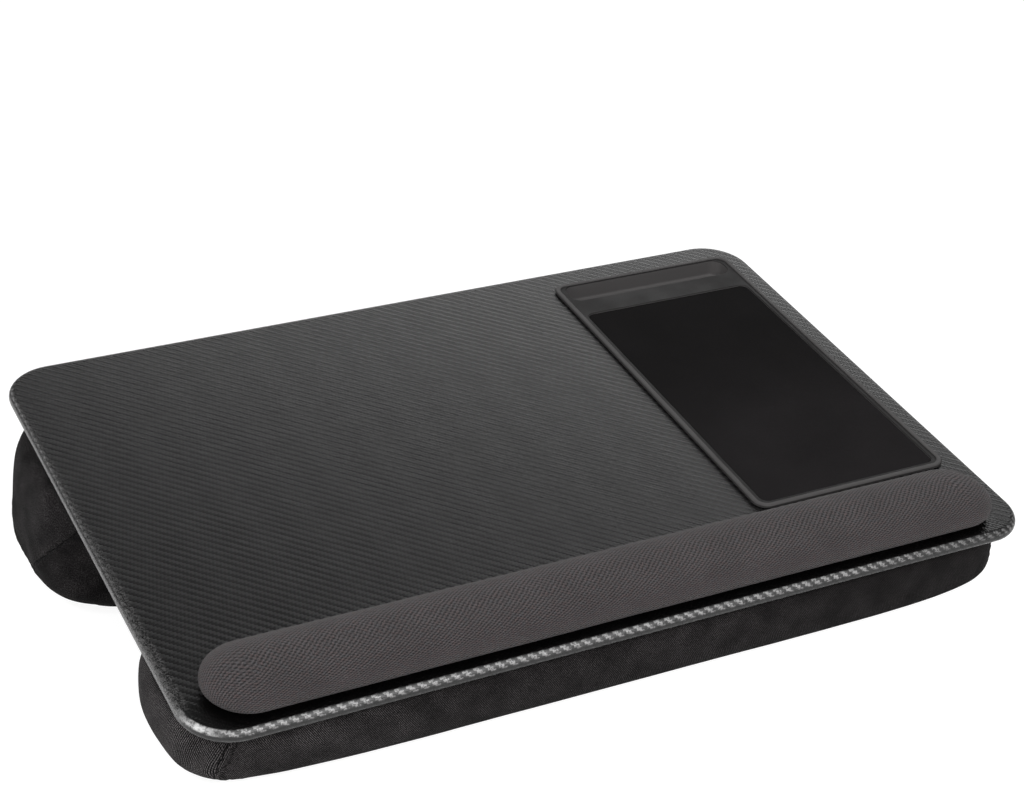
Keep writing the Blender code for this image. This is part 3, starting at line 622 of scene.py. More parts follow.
def arc(startInset, startHeight, endInset, endHeight, flatFirst, steps=8):
    # a quarter round between two rings; flatFirst says whether it leaves the first one level
    found = []
    for k in range(steps + 1):
        angle = math.pi / 2 * k / steps
        go, rise = math.sin(angle), 1 - math.cos(angle)
        if not flatFirst:
            go, rise = rise, go
        inset = startInset + (endInset - startInset) * go
        found.append((inset, startHeight + (endHeight - startHeight) * rise))
    return found


def setPlace(mesh, name, places):
    kept = mesh.attributes.new(name, "FLOAT_VECTOR", "POINT")
    kept.data.foreach_set("vector", np.asarray(places, np.float32).ravel())


def addPiece(name, mesh, material, replaced, smoothDegrees=40.0):
    mesh.transform(deckToWorld @ Matrix.Scale(mm, 4))
    mesh.shade_smooth()
    mesh.set_sharp_from_angle(angle=math.radians(smoothDegrees))
    mesh.materials.append(material)
    piece = bpy.data.objects.new(name, mesh)
    bpy.context.scene.collection.objects.link(piece)
    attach(piece, "root")
    if replaced:
        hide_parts(*replaced)
    return piece


def meshFrom(name, bm):
    bmesh.ops.recalc_face_normals(bm, faces=bm.faces)
    mesh = bpy.data.meshes.new(name)
    bm.to_mesh(mesh)
    bm.free()
    return mesh


# Deck film: wraps the board's top, its full-round edge and a lap below

tray = {
    "width": 138.0,
    "rightMargin": 13.7,
    "rearMargin": 19.5,
    "frontY": -109.8,
    "cornerRadius": 9.5,
    "rimHeight": 2.2,
    "rimWidth": 3.5,
    "landHeight": 1.5,
    "flange": 2.0,
    "wall": 1.8,
    "gap": 0.3,
    "outerRound": 1.3,
    "innerRound": 0.6,
    "underRound": 0.55,
    "floorRound": 0.3,
    "landRound": 0.35,
    "holeClearance": 0.5,
}
tray["x"] = deck["width"] / 2 - tray["rightMargin"] - tray["width"] / 2
tray["rearY"] = deck["depth"] / 2 - tray["rearMargin"]
tray["length"] = tray["rearY"] - tray["frontY"]
tray["centre"] = (tray["x"], (tray["rearY"] + tray["frontY"]) / 2)


def trayBody(inset):
    # outline of the moulding's body, which drops through the board
    flange = tray["flange"]
    return outline(
        tray["width"] - 2 * flange,
        tray["length"] - 2 * flange,
        tray["cornerRadius"] - flange,
        tray["centre"],
        inset,
    )


def makeDeckFilm():
    # the gathers under the front right corner fill it out
    radii = (deck["fullCorner"],) + (deck["cornerRadius"],) * 3
    size = (deck["width"], deck["depth"], radii)
    thick, edge, film, lap = deck["thickness"], deck["edgeRound"], deck["filmThickness"], deck["filmLap"]
    quarter, inner = math.pi / 2 * edge, edge - film
    # inset, height, and how far the film has run past the flat, for its printed place
    profile = [(edge + 0.4, 0.0, -0.4)]

    def addArc(corners, flatFirst, steps, start, way):
        for k, (inset, height) in enumerate(arc(*corners, flatFirst, steps)):
            profile.append((inset, height, quarter * (start + way * k / steps)))

    addArc((edge, 0.0, 0.0, -edge), True, 10, 0, 1)
    addArc((0.0, edge - thick, edge, -thick), False, 10, 1, 1)
    profile += [(lap, height, 2 * quarter + lap - edge) for height in (-thick, film - thick)]
    addArc((film + inner, film - thick, film, film - thick + inner), True, 6, 2, -1)
    addArc((film, -film - inner, film + inner, -film), False, 6, 1, -1)
    # the film is drawn tightest over the front and left edges
    edgePull = []
    for (outX, outY), (inX, inY) in zip(outline(*size, run=24), outline(*size, inset=1.0, run=24)):
        facing = max(inX - outX, inY - outY) / math.hypot(inX - outX, inY - outY)
        edgePull.append(min(1.0, max(0.0, (facing - 0.1) / 0.4)))
    bm = bmesh.new()
    rings, places = [], []
    for inset, height, run in profile:
        rings.append(addRing(bm, outline(*size, inset=inset, run=24), height))
        laid = outline(*size, inset=edge - run, run=24)
        places += [(x, y, run * pull) for (x, y), pull in zip(laid, edgePull)]
    joinRings(bm, rings)
    hole = [addRing(bm, trayBody(-tray["holeClearance"]), height) for height in (0.0, -film)]
    places += [(v.co.x, v.co.y, 0.0) for ring in hole for v in ring]
    joinRings(bm, hole)
    fillFlat(bm, rings[0], hole[0])
    fillFlat(bm, rings[-1], hole[1])
    mesh = meshFrom("deckFilm", bm)
    setPlace(mesh, "filmPlace", places)
    return addPiece("deckFilm", mesh, pvcFilm, ["deck_film"], 50.0)


makeDeckFilm()
print("deck film made")


# Organiser tray: one moulding with a bead, a land, the pad's recess and the phone slot

pad = {
    "sideMargin": 6.5,
    "frontMargin": 6.0,
    "cornerRadius": 5.0,
    "top": 0.9,
    "clothThickness": 0.5,
    "rubberThickness": 1.5,
    "setIn": 0.2,
    "edgeRound": 0.22,
}
slot = {
    "sideMargin": 6.5,
    "depth": 19.1,
    "cornerRadius": 8.0,
    "land": 17.0,
    "floor": -10.7,
    "mouthRound": 0.25,
    "floorRound": 2.0,
    "pocketRound": 0.8,
}
slot["rearY"] = tray["rearY"] - tray["flange"] - tray["wall"]
slot["centre"] = (tray["x"], slot["rearY"] - slot["depth"] / 2)
slot["width"] = tray["width"] - 2 * slot["sideMargin"]
pad["width"] = tray["width"] - 2 * pad["sideMargin"]
pad["frontY"] = tray["frontY"] + pad["frontMargin"]
pad["length"] = slot["rearY"] - slot["depth"] - slot["land"] - pad["frontY"]
pad["centre"] = (tray["x"], pad["frontY"] + pad["length"] / 2)
recessFloor = pad["top"] - pad["clothThickness"] - pad["rubberThickness"] - 2 * tray["gap"]


def makeTray():
    size = (tray["width"], tray["length"], tray["cornerRadius"], tray["centre"])
    flange, top, land, gap = tray["flange"], tray["rimHeight"], tray["landHeight"], tray["gap"]
    outer, inner, rim, wall = tray["outerRound"], tray["innerRound"], tray["rimWidth"], tray["wall"]
    under = recessFloor - wall
    foot = tray["underRound"]
    profile = [(flange, under), (flange, gap), (foot, gap)]
    profile += arc(foot, gap, 0.0, gap + foot, True, 4)[1:]
    profile += arc(0.0, top - outer, outer, top, False, 8)
    profile += arc(rim - inner, top, rim, top - inner, True, 6)
    profile += arc(rim, land + 0.1, rim + 0.15, land, False, 3)
    profile.append((rim + 0.25, land))
    bm = bmesh.new()
    rings = addWalls(bm, profile, size)

    recess = (pad["width"] + 2 * gap, pad["length"] + 2 * gap, pad["cornerRadius"] + gap, pad["centre"])
    edge, base, floor = tray["landRound"], tray["floorRound"], recessFloor
    profile = [(-0.5, land)] + arc(-edge, land, 0.0, land - edge, True, 4)
    profile += [(0.0, floor + base)] + arc(0.0, floor + base, base, floor, False, 3)[1:]
    recessRings = addWalls(bm, profile, recess)

    mouth = (slot["width"], slot["depth"], slot["cornerRadius"], slot["centre"])
    edge, base, floor = slot["mouthRound"], slot["floorRound"], slot["floor"]
    profile = [(-edge - 0.3, land)] + arc(-edge, land, 0.0, land - edge, True, 4)
    profile += [(0.0, floor + base)] + arc(0.0, floor + base, base, floor, False, 6)[1:]
    slotRings = addWalls(bm, profile, mouth)

    base, floor = slot["pocketRound"], slot["floor"] - wall
    profile = [(-wall, under), (-wall, floor + base)]
    profile += arc(-wall, floor + base, base - wall, floor, False, 4)[1:]
    pocketRings = addWalls(bm, profile, mouth)

    fillFlat(bm, rings[-1], recessRings[0], slotRings[0])
    fillFlat(bm, recessRings[-1])
    fillFlat(bm, slotRings[-1])
    fillFlat(bm, rings[0], pocketRings[0])
    fillFlat(bm, pocketRings[-1])
    mesh = meshFrom("organiserTray", bm)
    return addPiece("organiserTray", mesh, mouldedAbs, ["organiser_tray"], 38.0)


def makeMousePad():
    size = (pad["width"], pad["length"], pad["cornerRadius"], pad["centre"])
    setIn, edge, top = pad["setIn"], pad["edgeRound"], pad["top"]
    profile = [(setIn, top - pad["clothThickness"] + tray["gap"])]
    profile += arc(setIn, top - edge, setIn + edge, top, False, 5) + [(setIn + edge + 0.3, top)]
    bm = bmesh.new()
    rings = addWalls(bm, profile, size)
    fillFlat(bm, rings[0])
    fillFlat(bm, rings[-1])
    mesh = meshFrom("mousePadCloth", bm)
    return addPiece("mousePadCloth", mesh, padJersey, ["mouse_pad_cloth"], 50.0)


makeTray()
makeMousePad()
print("tray and mouse pad made")


# CAD nodes whose shape is right get their real material

carriedOver = {
    "deck_board": fibreboard,
    "under_panel": blackPanel,
    "mouse_pad_rubber": spongeRubber,
    "wrist_rest_base": blackSheet,
    "wrist_rest_tape": foamTape,
}
for name, node in nodes.items():
    material = carriedOver.get(name) or (zincSteel if "screw" in name else None)
    if material:
        node.data.materials.clear()
        node.data.materials.append(material)
print("CAD nodes finished")


# Soft pieces: a closed mesh is pumped up by cloth simulation, then sewn and creased


def readVectors(items, name):
    # one vector for each item, in the single precision that they are kept in
    found = np.empty(len(items) * 3, np.float32)
    items.foreach_get(name, found)
    return found.reshape(-1, 3)


def getSurface(mesh):
    # its points and their normals
    return [readVectors(mesh.vertices, name).astype(np.float64) for name in ("co", "normal")]


def setPoints(mesh, points):
    mesh.vertices.foreach_set("co", np.asarray(points, np.float32).ravel())
    mesh.update()


clothSettings = {
    "quality": 6,
    "mass": 0.2,
    "tension_stiffness": 25.0,
    "compression_stiffness": 25.0,
    "shear_stiffness": 12.0,
    "bending_stiffness": 0.8,
    "use_pressure": True,
    "vertex_group_mass": "held",
}


def inflate(piece, pinned, pressure, swell, stray, frames=20):
    # pinned: vertex numbers that stay; swell: the mean way out; stray: how far a point may leave it
    start = readVectors(piece.data.vertices, "co")
    group = piece.vertex_groups.new(name="held")
    group.add([int(i) for i in pinned], 1.0, "REPLACE")
    cloth = piece.modifiers.new("inflate", "CLOTH")
    for name, value in clothSettings.items():
        setattr(cloth.settings, name, value)
    cloth.settings.uniform_pressure_force = pressure
    cloth.settings.effector_weights.gravity = 0.0
    cloth.collision_settings.use_collision = False
    cloth.point_cache.frame_start = 1
    cloth.point_cache.frame_end = frames
    scene = bpy.context.scene
    for number in range(1, frames + 1):
        scene.frame_set(number)
    evaluated = piece.evaluated_get(bpy.context.evaluated_depsgraph_get())
    shift = readVectors(evaluated.to_mesh().vertices, "co") - start
    evaluated.to_mesh_clear()
    piece.modifiers.remove(cloth)
    piece.vertex_groups.remove(group)
    scene.frame_set(1)
    loose = np.ones(len(start), bool)
    loose[list(pinned)] = False
    normals = getSurface(piece.data)[1]
    outward = (shift * normals).sum(axis=1)[loose].mean()
    # the cloth swells by its own pattern; its mean swelling is set to the stuffed size, and no
    # point strays from that by much
    shift *= swell / max(outward, 1e-6)
    out = (shift * normals).sum(axis=1, keepdims=True)
    along = shift - out * normals
    kept = swell + stray * np.tanh((out - swell) / stray)
    kept[~loose] = 0.0
    slid = np.linalg.norm(along, axis=1, keepdims=True)
    along *= np.minimum(1.0, stray / np.maximum(slid, 1e-9))
    along[~loose] = 0.0
    mean, most = round(outward / mm, 2), round(kept.max() / mm, 2)
    print("  swelled", piece.name, "by", mean, "to", most, "mm")
    return start + kept * normals + along


def refine(piece):
    # subdivides once and keeps the result as the mesh
    modifier = piece.modifiers.new("refine", "SUBSURF")
    modifier.levels = modifier.render_levels = 1
    graph = bpy.context.evaluated_depsgraph_get()
    mesh = bpy.data.meshes.new_from_object(piece.evaluated_get(graph))
    piece.modifiers.remove(modifier)
    piece.data = mesh
    return mesh


def wave(points, size, seed):
    # smooth noise from -1 to 1 at each point, with features about size long
    shift = Vector((seed * 7.3, seed * 3.1, seed * 5.7))
    return np.array([noise.noise(Vector(p) / size + shift) for p in points]) * 1.6


# Wrist rest: a knit cover drawn over a foam core and turned in under the stiff base

rest = {
    "x": 0.0,
    "length": 498.0,
    "depth": 53.0,
    "height": 16.5,
    "belly": 5.8,
    "frontMargin": 6.0,
    "tuck": 0.75,
    "crown": 0.8,
    "thickness": 1.0,
    "gap": 0.3,
    "foamBottom": 2.75,
    "lengthCells": 100,
    "endCells": 9,
    "depthCells": 16,
    "underCells": 4,
    "pressure": 3.0,
    "stray": 0.5,
    "startInset": 0.6,
    "rollOut": 30.0,
}
rest["y"] = -deck["depth"] / 2 + rest["frontMargin"] + rest["depth"] / 2


def restPlan(a, b):
    # a runs along the rest, past 1 or -1 in its round ends; b runs across it, from -1 to 1
    over = max(abs(a) - 1, 0.0)
    straight = (rest["length"] - rest["depth"]) / 2
    along = max(-1.0, min(1.0, a)) * straight
    go = over * math.sqrt(1 - b * b / 2)
    side = b * math.sqrt(1 - over * over / 2)
    return along, math.copysign(go, a), side


def restSpot(a, b, half, height):
    # a place on the rest's plan, half as far out as its outline there is wide
    along, go, side = restPlan(a, b)
    return Vector((rest["x"] + along + go * half, rest["y"] + side * half, height))


def restPoint(a, b, inset):
    _, go, side = restPlan(a, b)
    reach = math.hypot(go, side)
    angle = (1 - min(reach, 1.0)) * math.pi / 2
    width = math.cos(angle) ** rest["crown"]
    height = rest["belly"] + (rest["height"] - inset - rest["belly"]) * math.sin(angle) ** rest["crown"]
    half = (rest["depth"] / 2 - inset) * width / reach if reach > 1e-6 else 0.0
    return restSpot(a, b, half, height)


def restUnder(a, b, share, inset):
    # from the belly (share 0) down to the turned-in rim (share 1)
    lowest = math.acos(rest["tuck"])
    angle = lowest * share
    drop = (rest["belly"] - rest["gap"]) * math.sin(angle) / math.sin(lowest)
    return restSpot(a, b, (rest["depth"] / 2 - inset) * math.cos(angle), rest["belly"] - drop)


def makeWristRest():
    inset = rest["startInset"]
    ends, length, depth = rest["endCells"], rest["lengthCells"], rest["depthCells"]
    straightCells = length - 2 * ends
    alongs = [-2 + k / ends for k in range(ends)]
    alongs += [-1 + 2 * k / straightCells for k in range(straightCells + 1)]
    alongs += [1 + (k + 1) / ends for k in range(ends)]
    acrosses = [-1 + 2 * k / depth for k in range(depth + 1)]
    bm = bmesh.new()
    top = [[bm.verts.new(restPoint(a, b, inset)) for b in acrosses] for a in alongs]

    def lay(a, b, more):
        # where the knit lies on the cloth: the way from the crown, rolled out flat
        along, go, side = restPlan(a, b)
        run = rest["rollOut"] + more
        return (along + go * run, side * run, 0.0)

    lays = [lay(a, b, 0.0) for a in alongs for b in acrosses]
    for i in range(length):
        for j in range(depth):
            bm.faces.new((top[i][j], top[i + 1][j], top[i + 1][j + 1], top[i][j + 1]))
    edge = [(i, 0) for i in range(length)] + [(length, j) for j in range(depth)]
    edge += [(length - i, depth) for i in range(length)] + [(0, depth - j) for j in range(depth)]
    edgePlaces = [(alongs[i], acrosses[j]) for i, j in edge]
    rings = [[top[i][j] for i, j in edge]]
    under = rest["underCells"]
    for k in range(1, under + 1):
        share = k / under
        rings.append([bm.verts.new(restUnder(a, b, share, inset * (1 - share))) for a, b in edgePlaces])
        lays += [lay(a, b, 7.0 * share) for a, b in edgePlaces]
    joinRings(bm, rings)
    rim = rings[-1]
    # turned in past the base's edge, and up to the foam's underside
    half = rest["depth"] / 2 * rest["tuck"] - rest["thickness"]
    inner = []
    for height in (rest["gap"] + 0.2, rest["foamBottom"]):
        inner.append([bm.verts.new(restSpot(a, b, half, height)) for a, b in edgePlaces])
        lays += [lay(a, b, 8.0) for a, b in edgePlaces]
    joinRings(bm, [rim] + inner)
    bottom = dict(zip(edge, inner[-1]))
    for i in range(1, length):
        for j in range(1, depth):
            spot = restSpot(alongs[i], acrosses[j], half, rest["foamBottom"])
            bottom[(i, j)] = bm.verts.new(spot)
            along, _, side = restPlan(alongs[i], acrosses[j])
            lays.append((along, side * 20.0, 0.0))
    for i in range(length):
        for j in range(depth):
            spots = ((i, j), (i, j + 1), (i + 1, j + 1), (i + 1, j))
            bm.faces.new([bottom[spot] for spot in spots])
    bm.verts.index_update()
    pinned = [v.index for v in (*rim, *bottom.values(), *inner[0])]
    mesh = meshFrom("wristRest", bm)
    setPlace(mesh, "knitPlace", lays)
    replaced = ["wrist_rest_cover", "wrist_rest_foam"]
    piece = addPiece("wristRest", mesh, warpKnit, replaced, 180.0)
    swell, stray = rest["startInset"] * mm, rest["stray"] * mm
    setPoints(piece.data, inflate(piece, pinned, rest["pressure"], swell, stray))
    mesh = refine(piece)
    points, normals = getSurface(mesh)
    toDeck = np.array(deckToWorld.inverted())
    heights = (toDeck @ np.c_[points, np.ones(len(points))].T).T[:, 2] / mm
    free = np.clip((heights - 2.0) / 3.0, 0, 1)
    # foam is never quite even under a tight knit
    lift = (wave(points / mm, 60.0, 21) * 0.28 + wave(points / mm, 17.0, 22) * 0.1) * free
    setPoints(mesh, points + normals * lift[:, None] * mm)
    return piece


makeWristRest()
print("wrist rest made")


# Bolsters: a wrap and two end panels sewn into a bag, stuffed, and glued under the panel

bolsters = {
    "rear": {
        "piece": "rearBolster",
        "halfLength": 272.0,
        "depth": 156.0,
        "y": 97.0,
        "belly": 0.547,
        "draw": 0.112,
        "planPower": 1 / 0.222,
        "profilePower": 1 / 0.185,
        "seamEnd": 1.3,
        "rightSeamEnd": 1.3,
        "seamLean": 0.6,
        "seamLeanRate": 1.6,
        "creaseAway": 0.0,
        "creaseDepth": 0.7,
        "gather": 0.35,
        "ridge": 0.0,
        "endBulge": 0.0,
        "footBack": 0.0,
        "footTurn": 0.0,
        "seamDrop": 0.635,
        "seamRound": 0.29,
        "wallCells": 16,
        "depthCells": 26,
        "pressure": 4.0,
        "startInset": 3.0,
        "swell": 3.9,
        "stray": 0.7,
        "seed": 3,
    },
    "front": {
        "piece": "frontBolster",
        "halfLength": 261.8,
        "depth": 120.0,
        "y": -116.0,
        "belly": 0.613,
        "draw": 0.055,
        "planPower": 1 / 0.17,
        "profilePower": 1 / 0.272,
        "seamEnd": 1.085,
        "rightSeamEnd": 1.7,
        "seamLean": 0.12,
        "seamLeanRate": 0.17,
        "creaseAway": 2.3,
        "creaseDepth": 0.62,
        "gather": 1.0,
        "ridge": 0.45,
        "endBulge": 5.0,
        "footBack": 0.8,
        "footTurn": 4.6,
        "seamDrop": 1.0,
        "seamRound": 0.08,
        "wallCells": 10,
        "depthCells": 22,
        "pressure": 4.0,
        "startInset": 2.4,
        "swell": 2.7,
        "stray": 0.8,
        "seed": 8,
    },
}
cushionTop = -12.8
lengthCells = 90
seamWarpPower = 4
seamLeanStart = 0.2
seamLines = (0.0, 1.0, 2.0, 3.2, 5.0)  # cloth cells beside a seam, in millimetres from it
footLines = (0.0, 1.2, 2.4, 4.0)
wallHalfHeight = 34.0
seamAllowance = {
    "stitchPitch": 7.0,
    "ridgeWidth": 1.3,
    "creaseWidth": 0.9,
    "shoulderAway": 3.6,
    "shoulderWidth": 2.6,
    "shoulderHeight": 0.35,
}


def bolsterPoint(b, u, v, w, inset):
    # a cube from -1 to 1 drawn out to the stuffed bag: u along it, v from front to rear, w up
    rim = max(abs(u), abs(v))
    below = min(w, 0.0)
    warp = abs(u) ** seamWarpPower
    rounding = b["seamRound"] * warp
    # below its top the seam leans in towards the middle of the end
    under = max((1 - w) / 2 - seamLeanStart, 0.0)
    if b["seamLean"]:
        v *= 1 - warp * b["seamLean"] * math.tanh(b["seamLeanRate"] * under / b["seamLean"])
    side = u * (b["seamEnd"] if u < 0 else b["rightSeamEnd"])
    power = b["planPower"]
    v, down = v * (1 - rounding * below**2), -below * b["seamDrop"] * (1 - rounding * v**2)
    plan = (abs(side) ** power + abs(v) ** power) ** (1 / power)
    halfDepth = b["depth"] / 2
    if w < 0:
        power = b["profilePower"]
        reach = (plan**power + down**power) ** (1 / power)
        drop = b["belly"] + (1 - b["belly"]) * down / reach
        drawn = 1.0
    else:
        reach = plan / rim if rim > 0 else 1.0
        drop = b["belly"] * (1 - w)
        drawn = 1 - b["draw"] * w**2
    y = b["y"] + (halfDepth - inset) * drawn * v / reach
    if v < 0:
        # the foot of the long side stands a little askew
        turned = u * (1.3 + 0.8 * u) if u > 0 else u * (1 - 1.3 * u**4)
        y -= below * v * v * (b["footBack"] * (1 - u * u) - b["footTurn"] * turned)
    x = (b["halfLength"] - inset - halfDepth * (1 - drawn)) * side / reach
    x += math.copysign(b["endBulge"] * (1 - v * v) * u**6, u)
    lowest = floorBelow(y)
    height = cushionTop + (lowest - 0.5 - cushionTop) * drop
    return Vector((x, y, max(height, lowest + inset * 0.3)))


def spaced(count, edgeLines, both=True):
    # -1 to 1 in even cells, with closer lines beside the seam at each end, or at -1 only
    even = [-1 + 2 * k / count for k in range(count + 1)]
    low = [-1 + e for e in edgeLines]
    first = low[-1] + 0.6 / count
    middle = [t for t in even if t > first and (not both or t < -first)]
    return low + middle + ([-t for t in reversed(low)] if both else [])


def spread(points):
    # the way run along a list of points
    steps = [0.0]
    for first, second in zip(points, points[1:]):
        steps.append(steps[-1] + (second - first).length)
    return steps


def makeBolster(b, cloth, replaced):
    inset = b["startInset"]
    halfDepth = b["depth"] / 2
    us = spaced(lengthCells, [e / b["halfLength"] for e in seamLines])
    vs = spaced(b["depthCells"], [e / halfDepth for e in seamLines])
    ws = spaced(b["wallCells"], [e / wallHalfHeight for e in footLines], both=False)
    lastU, lastV, lastW = len(us) - 1, len(vs) - 1, len(ws) - 1
    place, verts = {}, {}
    bm = bmesh.new()
    for i in range(lastU + 1):
        for j in range(lastV + 1):
            for k in range(lastW + 1):
                if i in (0, lastU) or j in (0, lastV) or k in (0, lastW):
                    key = (i, j, k)
                    place[key] = bolsterPoint(b, us[i], vs[j], ws[k], inset)
                    verts[key] = bm.verts.new(place[key])
    # how the cloth lies on each panel: along and round for the wrap, across and up for an end
    girth = [(0, k) for k in range(lastW, -1, -1)] + [(j, 0) for j in range(1, lastV + 1)]
    girth += [(lastV, k) for k in range(1, lastW + 1)]
    wrapRound, wrapAlong, endUp, endAcross = {}, {}, {}, {}
    for i in range(lastU + 1):
        for (j, k), run in zip(girth, spread([place[(i, j, k)] for j, k in girth])):
            wrapRound[(i, j, k)] = run
    for j, k in girth:
        runs = spread([place[(i, j, k)] for i in range(lastU + 1)])
        for i, run in enumerate(runs):
            wrapAlong[(i, j, k)] = run - runs[lastU // 2]
    for i in (0, lastU):
        for k in range(lastW + 1):
            runs = spread([place[(i, j, k)] for j in range(lastV + 1)])
            for j, run in enumerate(runs):
                endAcross[(i, j, k)] = (run - runs[lastV // 2]) * (-1 if i else 1)
        for j in range(lastV + 1):
            for k, run in enumerate(spread([place[(i, j, k)] for k in range(lastW + 1)])):
                endUp[(i, j, k)] = run
    layer = bm.loops.layers.uv.new("clothPlace")

    def addFace(keys, side):
        face = bm.faces.new([verts[key] for key in keys])
        for loop, key in zip(face.loops, keys):
            if side == "end":
                loop[layer].uv = (endAcross[key], endUp[key])
            elif side == "wrap":
                loop[layer].uv = (wrapAlong[key], -wrapRound[key])
            else:
                loop[layer].uv = (place[key].x, place[key].y)

    for i in range(lastU):
        for k in range(lastW):
            for j in (0, lastV):
                addFace([(i, j, k), (i + 1, j, k), (i + 1, j, k + 1), (i, j, k + 1)], "wrap")
        for j in range(lastV):
            addFace([(i, j, 0), (i + 1, j, 0), (i + 1, j + 1, 0), (i, j + 1, 0)], "wrap")
            addFace([(i, j, lastW), (i + 1, j, lastW), (i + 1, j + 1, lastW), (i, j + 1, lastW)], "top")
    for j in range(lastV):
        for k in range(lastW):
            for i in (0, lastU):
                addFace([(i, j, k), (i, j + 1, k), (i, j + 1, k + 1), (i, j, k + 1)], "end")
    bm.verts.index_update()
    pinned = [v.index for (i, j, k), v in verts.items() if k == lastW]
    cube = np.zeros((len(verts), 3))
    for (i, j, k), v in verts.items():
        cube[v.index] = (us[i], vs[j], ws[k])
    mesh = meshFrom(b["piece"], bm)
    setPlace(mesh, "cubePlace", cube)
    piece = addPiece(b["piece"], mesh, cloth, replaced, 180.0)
    setPoints(piece.data, inflate(piece, pinned, b["pressure"], b["swell"] * mm, b["stray"] * mm))
    # stuffed cloth takes no sharp bend at the belly
    bent = np.exp(-((cube[:, 2] / 0.45) ** 2)) * (np.abs(cube[:, 2]) < 0.9)
    ends = np.empty(len(piece.data.edges) * 2, np.int32)
    piece.data.edges.foreach_get("vertices", ends)
    ends = ends.reshape(-1, 2)
    count = np.bincount(ends.ravel(), minlength=len(cube))[:, None]
    points = getSurface(piece.data)[0]
    for _ in range(14):
        near = np.zeros_like(points)
        np.add.at(near, ends[:, 0], points[ends[:, 1]])
        np.add.at(near, ends[:, 1], points[ends[:, 0]])
        points += (near / count - points) * 0.5 * bent[:, None]
    points[:, 2] = np.maximum(points[:, 2], 0.0)
    setPoints(piece.data, points)
    dressBolster(b, refine(piece))
    return piece


def seamRuns(points, cube):
    # the seams' points and how far along its seam each lies, in metres
    onEnd = np.abs(np.abs(cube[:, 0]) - 1) < 1e-4
    found, runs = [], []
    for side in (-1, 1):
        ways = (
            (np.abs(cube[:, 1] + 1) < 1e-4, 1 - cube[:, 2]),
            (np.abs(cube[:, 2] + 1) < 1e-4, 3 + cube[:, 1]),
            (np.abs(cube[:, 1] - 1) < 1e-4, 5 + cube[:, 2]),
        )
        order = {}
        for mask, way in ways:
            for i in np.nonzero(onEnd & mask & (cube[:, 0] * side > 0))[0]:
                order.setdefault(int(i), float(way[i]))
        line = sorted(order, key=order.get)
        steps = np.r_[0.0, np.cumsum(np.linalg.norm(np.diff(points[line], axis=0), axis=1))]
        found += line
        runs += list(steps + (side + 1))
    return found, np.array(runs)


def dressBolster(b, mesh):
    points, normals = getSurface(mesh)
    cube = readVectors(mesh.attributes["cubePlace"].data, "vector").astype(np.float64)
    seam, runs = seamRuns(points, cube)
    tree = KDTree(len(seam))
    for order, i in enumerate(seam):
        tree.insert(points[i], order)
    tree.balance()
    nearest = [tree.find(p) for p in points]
    away = np.array([n[2] for n in nearest]) / mm
    run = runs[[n[1] for n in nearest]] / mm
    # the seam allowance makes a low ridge between two creases; the stitches gather it
    sewn = seamAllowance
    phase = run * 2 * math.pi / sewn["stitchPitch"] + 2.2 * wave(points / mm, 16.0, b["seed"])
    gathers = b["gather"] * np.sin(phase)
    wander = wave(np.c_[run, run * 0, run * 0], 5.0, b["seed"] + 4)
    side = np.where(np.abs(cube[:, 0]) > 1 - 1e-4, 1.0, -1.0)
    across = np.abs(side * away + wander * b["gather"] * 0.8)
    ridge = b["ridge"] * np.exp(-((across / sewn["ridgeWidth"]) ** 2)) * (1 + 0.7 * gathers)
    fromCrease = across - b["creaseAway"]
    crease = -b["creaseDepth"] * np.exp(-((fromCrease / sewn["creaseWidth"]) ** 2))
    crease = crease * (0.8 + 0.35 * gathers)
    fromShoulder = (fromCrease - sewn["shoulderAway"]) / sewn["shoulderWidth"]
    shoulder = sewn["shoulderHeight"] * np.exp(-(fromShoulder**2)) * (1 + 0.9 * gathers)
    swells = wave(points / mm, 70.0, b["seed"] + 1) * 0.5
    creases = wave(points / mm * (1.0, 1.0, 0.5), 19.0, b["seed"] + 2)
    creases *= 0.1 + 0.5 * np.exp(-away / 25.0)
    free = np.clip((1 - cube[:, 2]) / 0.12, 0, 1)
    # cloth that bears on the floor is pressed even
    above = points[:, 2] / mm
    loose = 0.25 + 0.75 * np.clip((above - 1.0) / 18.0, 0, 1)
    lift = (ridge + crease + shoulder + swells + creases) * free * loose
    points += normals * lift[:, None] * mm
    points[:, 2] = np.maximum(points[:, 2], 0.0)
    setPoints(mesh, points)
    setPlace(mesh, "seamPlace", np.c_[side * away, run, np.full(len(run), b["creaseAway"])])
    mesh.attributes.remove(mesh.attributes["cubePlace"])


for side in ("rear", "front"):
    replaced = [name for name in nodes if name.startswith(side + "_bolster")]
    makeBolster(bolsters[side], twills[side], replaced)
print("bolsters made")


# Studio: white floor, soft lamps

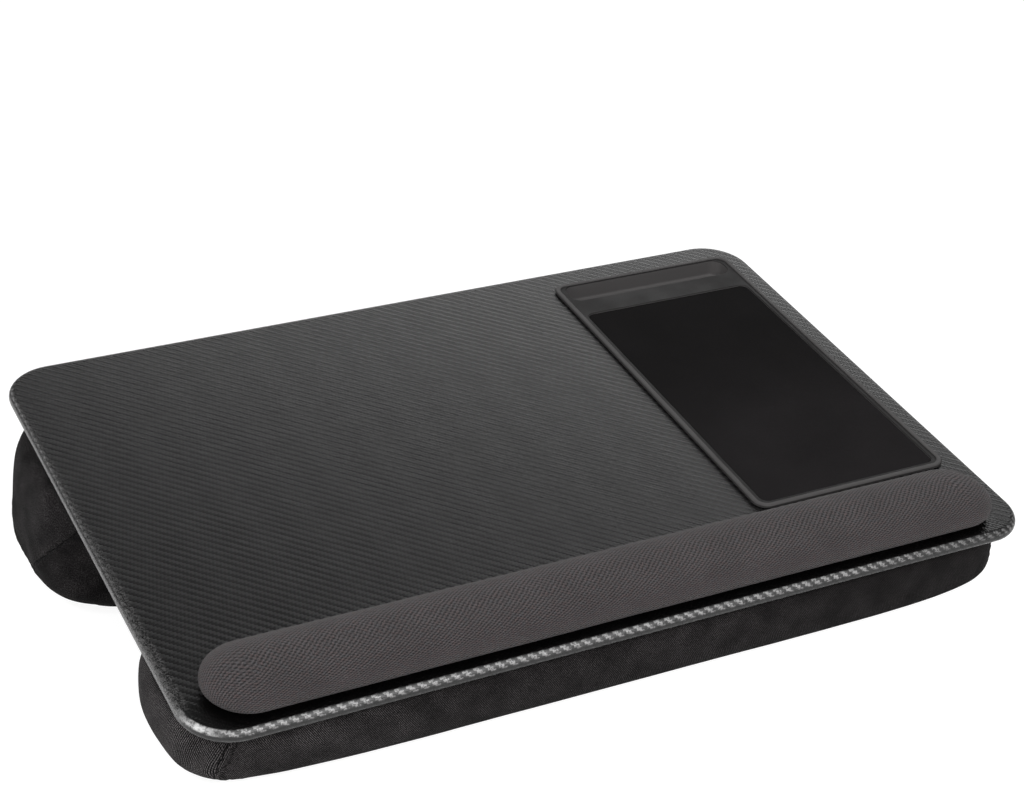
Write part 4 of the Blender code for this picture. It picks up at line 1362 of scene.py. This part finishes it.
studio = {
    "floorSize": 40.0,
    "floorColour": "#f2f2f2",
    "floorGlow": 1.25,
    "glowShare": 0.72,
    "worldStrength": 0.15,
    "white": (1.0, 1.0, 1.0, 1.0),
}
lamps = {  # place, target, size and power
    "keyLamp": ((0.35, -0.8, 1.5), (0.0, -0.15, 0.1), (1.1, 1.1), 9.0),
    "frontLamp": ((0.0, -1.5, 1.0), (0.0, -0.15, 0.06), (1.4, 0.6), 21.0),
    "leftLamp": ((-1.8, -0.3, 0.6), (0.0, -0.1, 0.06), (1.0, 0.6), 12.0),
    "cornerLamp": ((-1.27, -0.31, 1.28), (-0.25, -0.17, 0.06), (0.35, 0.35), 7.5),
    "edgeLamp": ((-1.0, 1.6, 0.9), (-0.26, 0.0, 0.1), (0.9, 0.35), 2.5),
    "rearLamp": ((1.3, 1.8, 1.2), (0.1, 0.0, 0.08), (2.4, 0.9), 13.0),
}


def makeFloor():
    mesh = bpy.data.meshes.new("studioFloor")
    half = studio["floorSize"] / 2
    corners = [(-half, -half, 0), (half, -half, 0), (half, half, 0), (-half, half, 0)]
    mesh.from_pydata(corners, [], [(0, 1, 2, 3)])
    floor = bpy.data.objects.new("studioFloor", mesh)
    bpy.context.scene.collection.objects.link(floor)
    floor.location.z = -0.0002
    # matt white paper, which glows a little where the camera sees it
    values = {"Specular_IOR_Level": 0.0, "Base_Color": studio["floorColour"]}
    material, add = startMaterial("whitePaper", 0.9, **values)
    share = add("MULTIPLY", add("LightPath").outputs["Is Camera Ray"], studio["glowShare"])
    made = material.node_tree.nodes
    glow = add("Emission", None, studio["floorGlow"])
    seen = add("MixShader", share, made["Principled BSDF"], glow)
    plug(made["Material Output"].inputs["Surface"], seen)
    mesh.materials.append(material)


def makeWorld():
    world = bpy.data.worlds.new("studioWorld")
    world.use_nodes = True
    tree = world.node_tree
    plain = tree.nodes["Background"]
    plug(plain.inputs["Color"], studio["white"])
    plug(plain.inputs["Strength"], studio["worldStrength"])
    backdrop = addNode(tree, "Background", studio["white"], 1.0)
    seen = addNode(tree, "LightPath").outputs["Is Camera Ray"]
    mixed = addNode(tree, "MixShader", seen, plain, backdrop)
    plug(tree.nodes["World Output"].inputs["Surface"], mixed)
    bpy.context.scene.world = world


def addLamp(name, place, target, size, power):
    data = bpy.data.lights.new(name, "AREA")
    data.shape = "RECTANGLE"
    data.size, data.size_y = size
    data.energy = power
    lamp = bpy.data.objects.new(name, data)
    lamp.location = place
    lamp.rotation_euler = (Vector(target) - Vector(place)).to_track_quat("-Z", "Y").to_euler()
    bpy.context.scene.collection.objects.link(lamp)


makeFloor()
makeWorld()
for name, values in lamps.items():
    addLamp(name, *values)
bpy.context.scene.view_settings.view_transform = "Standard"
print("studio made")
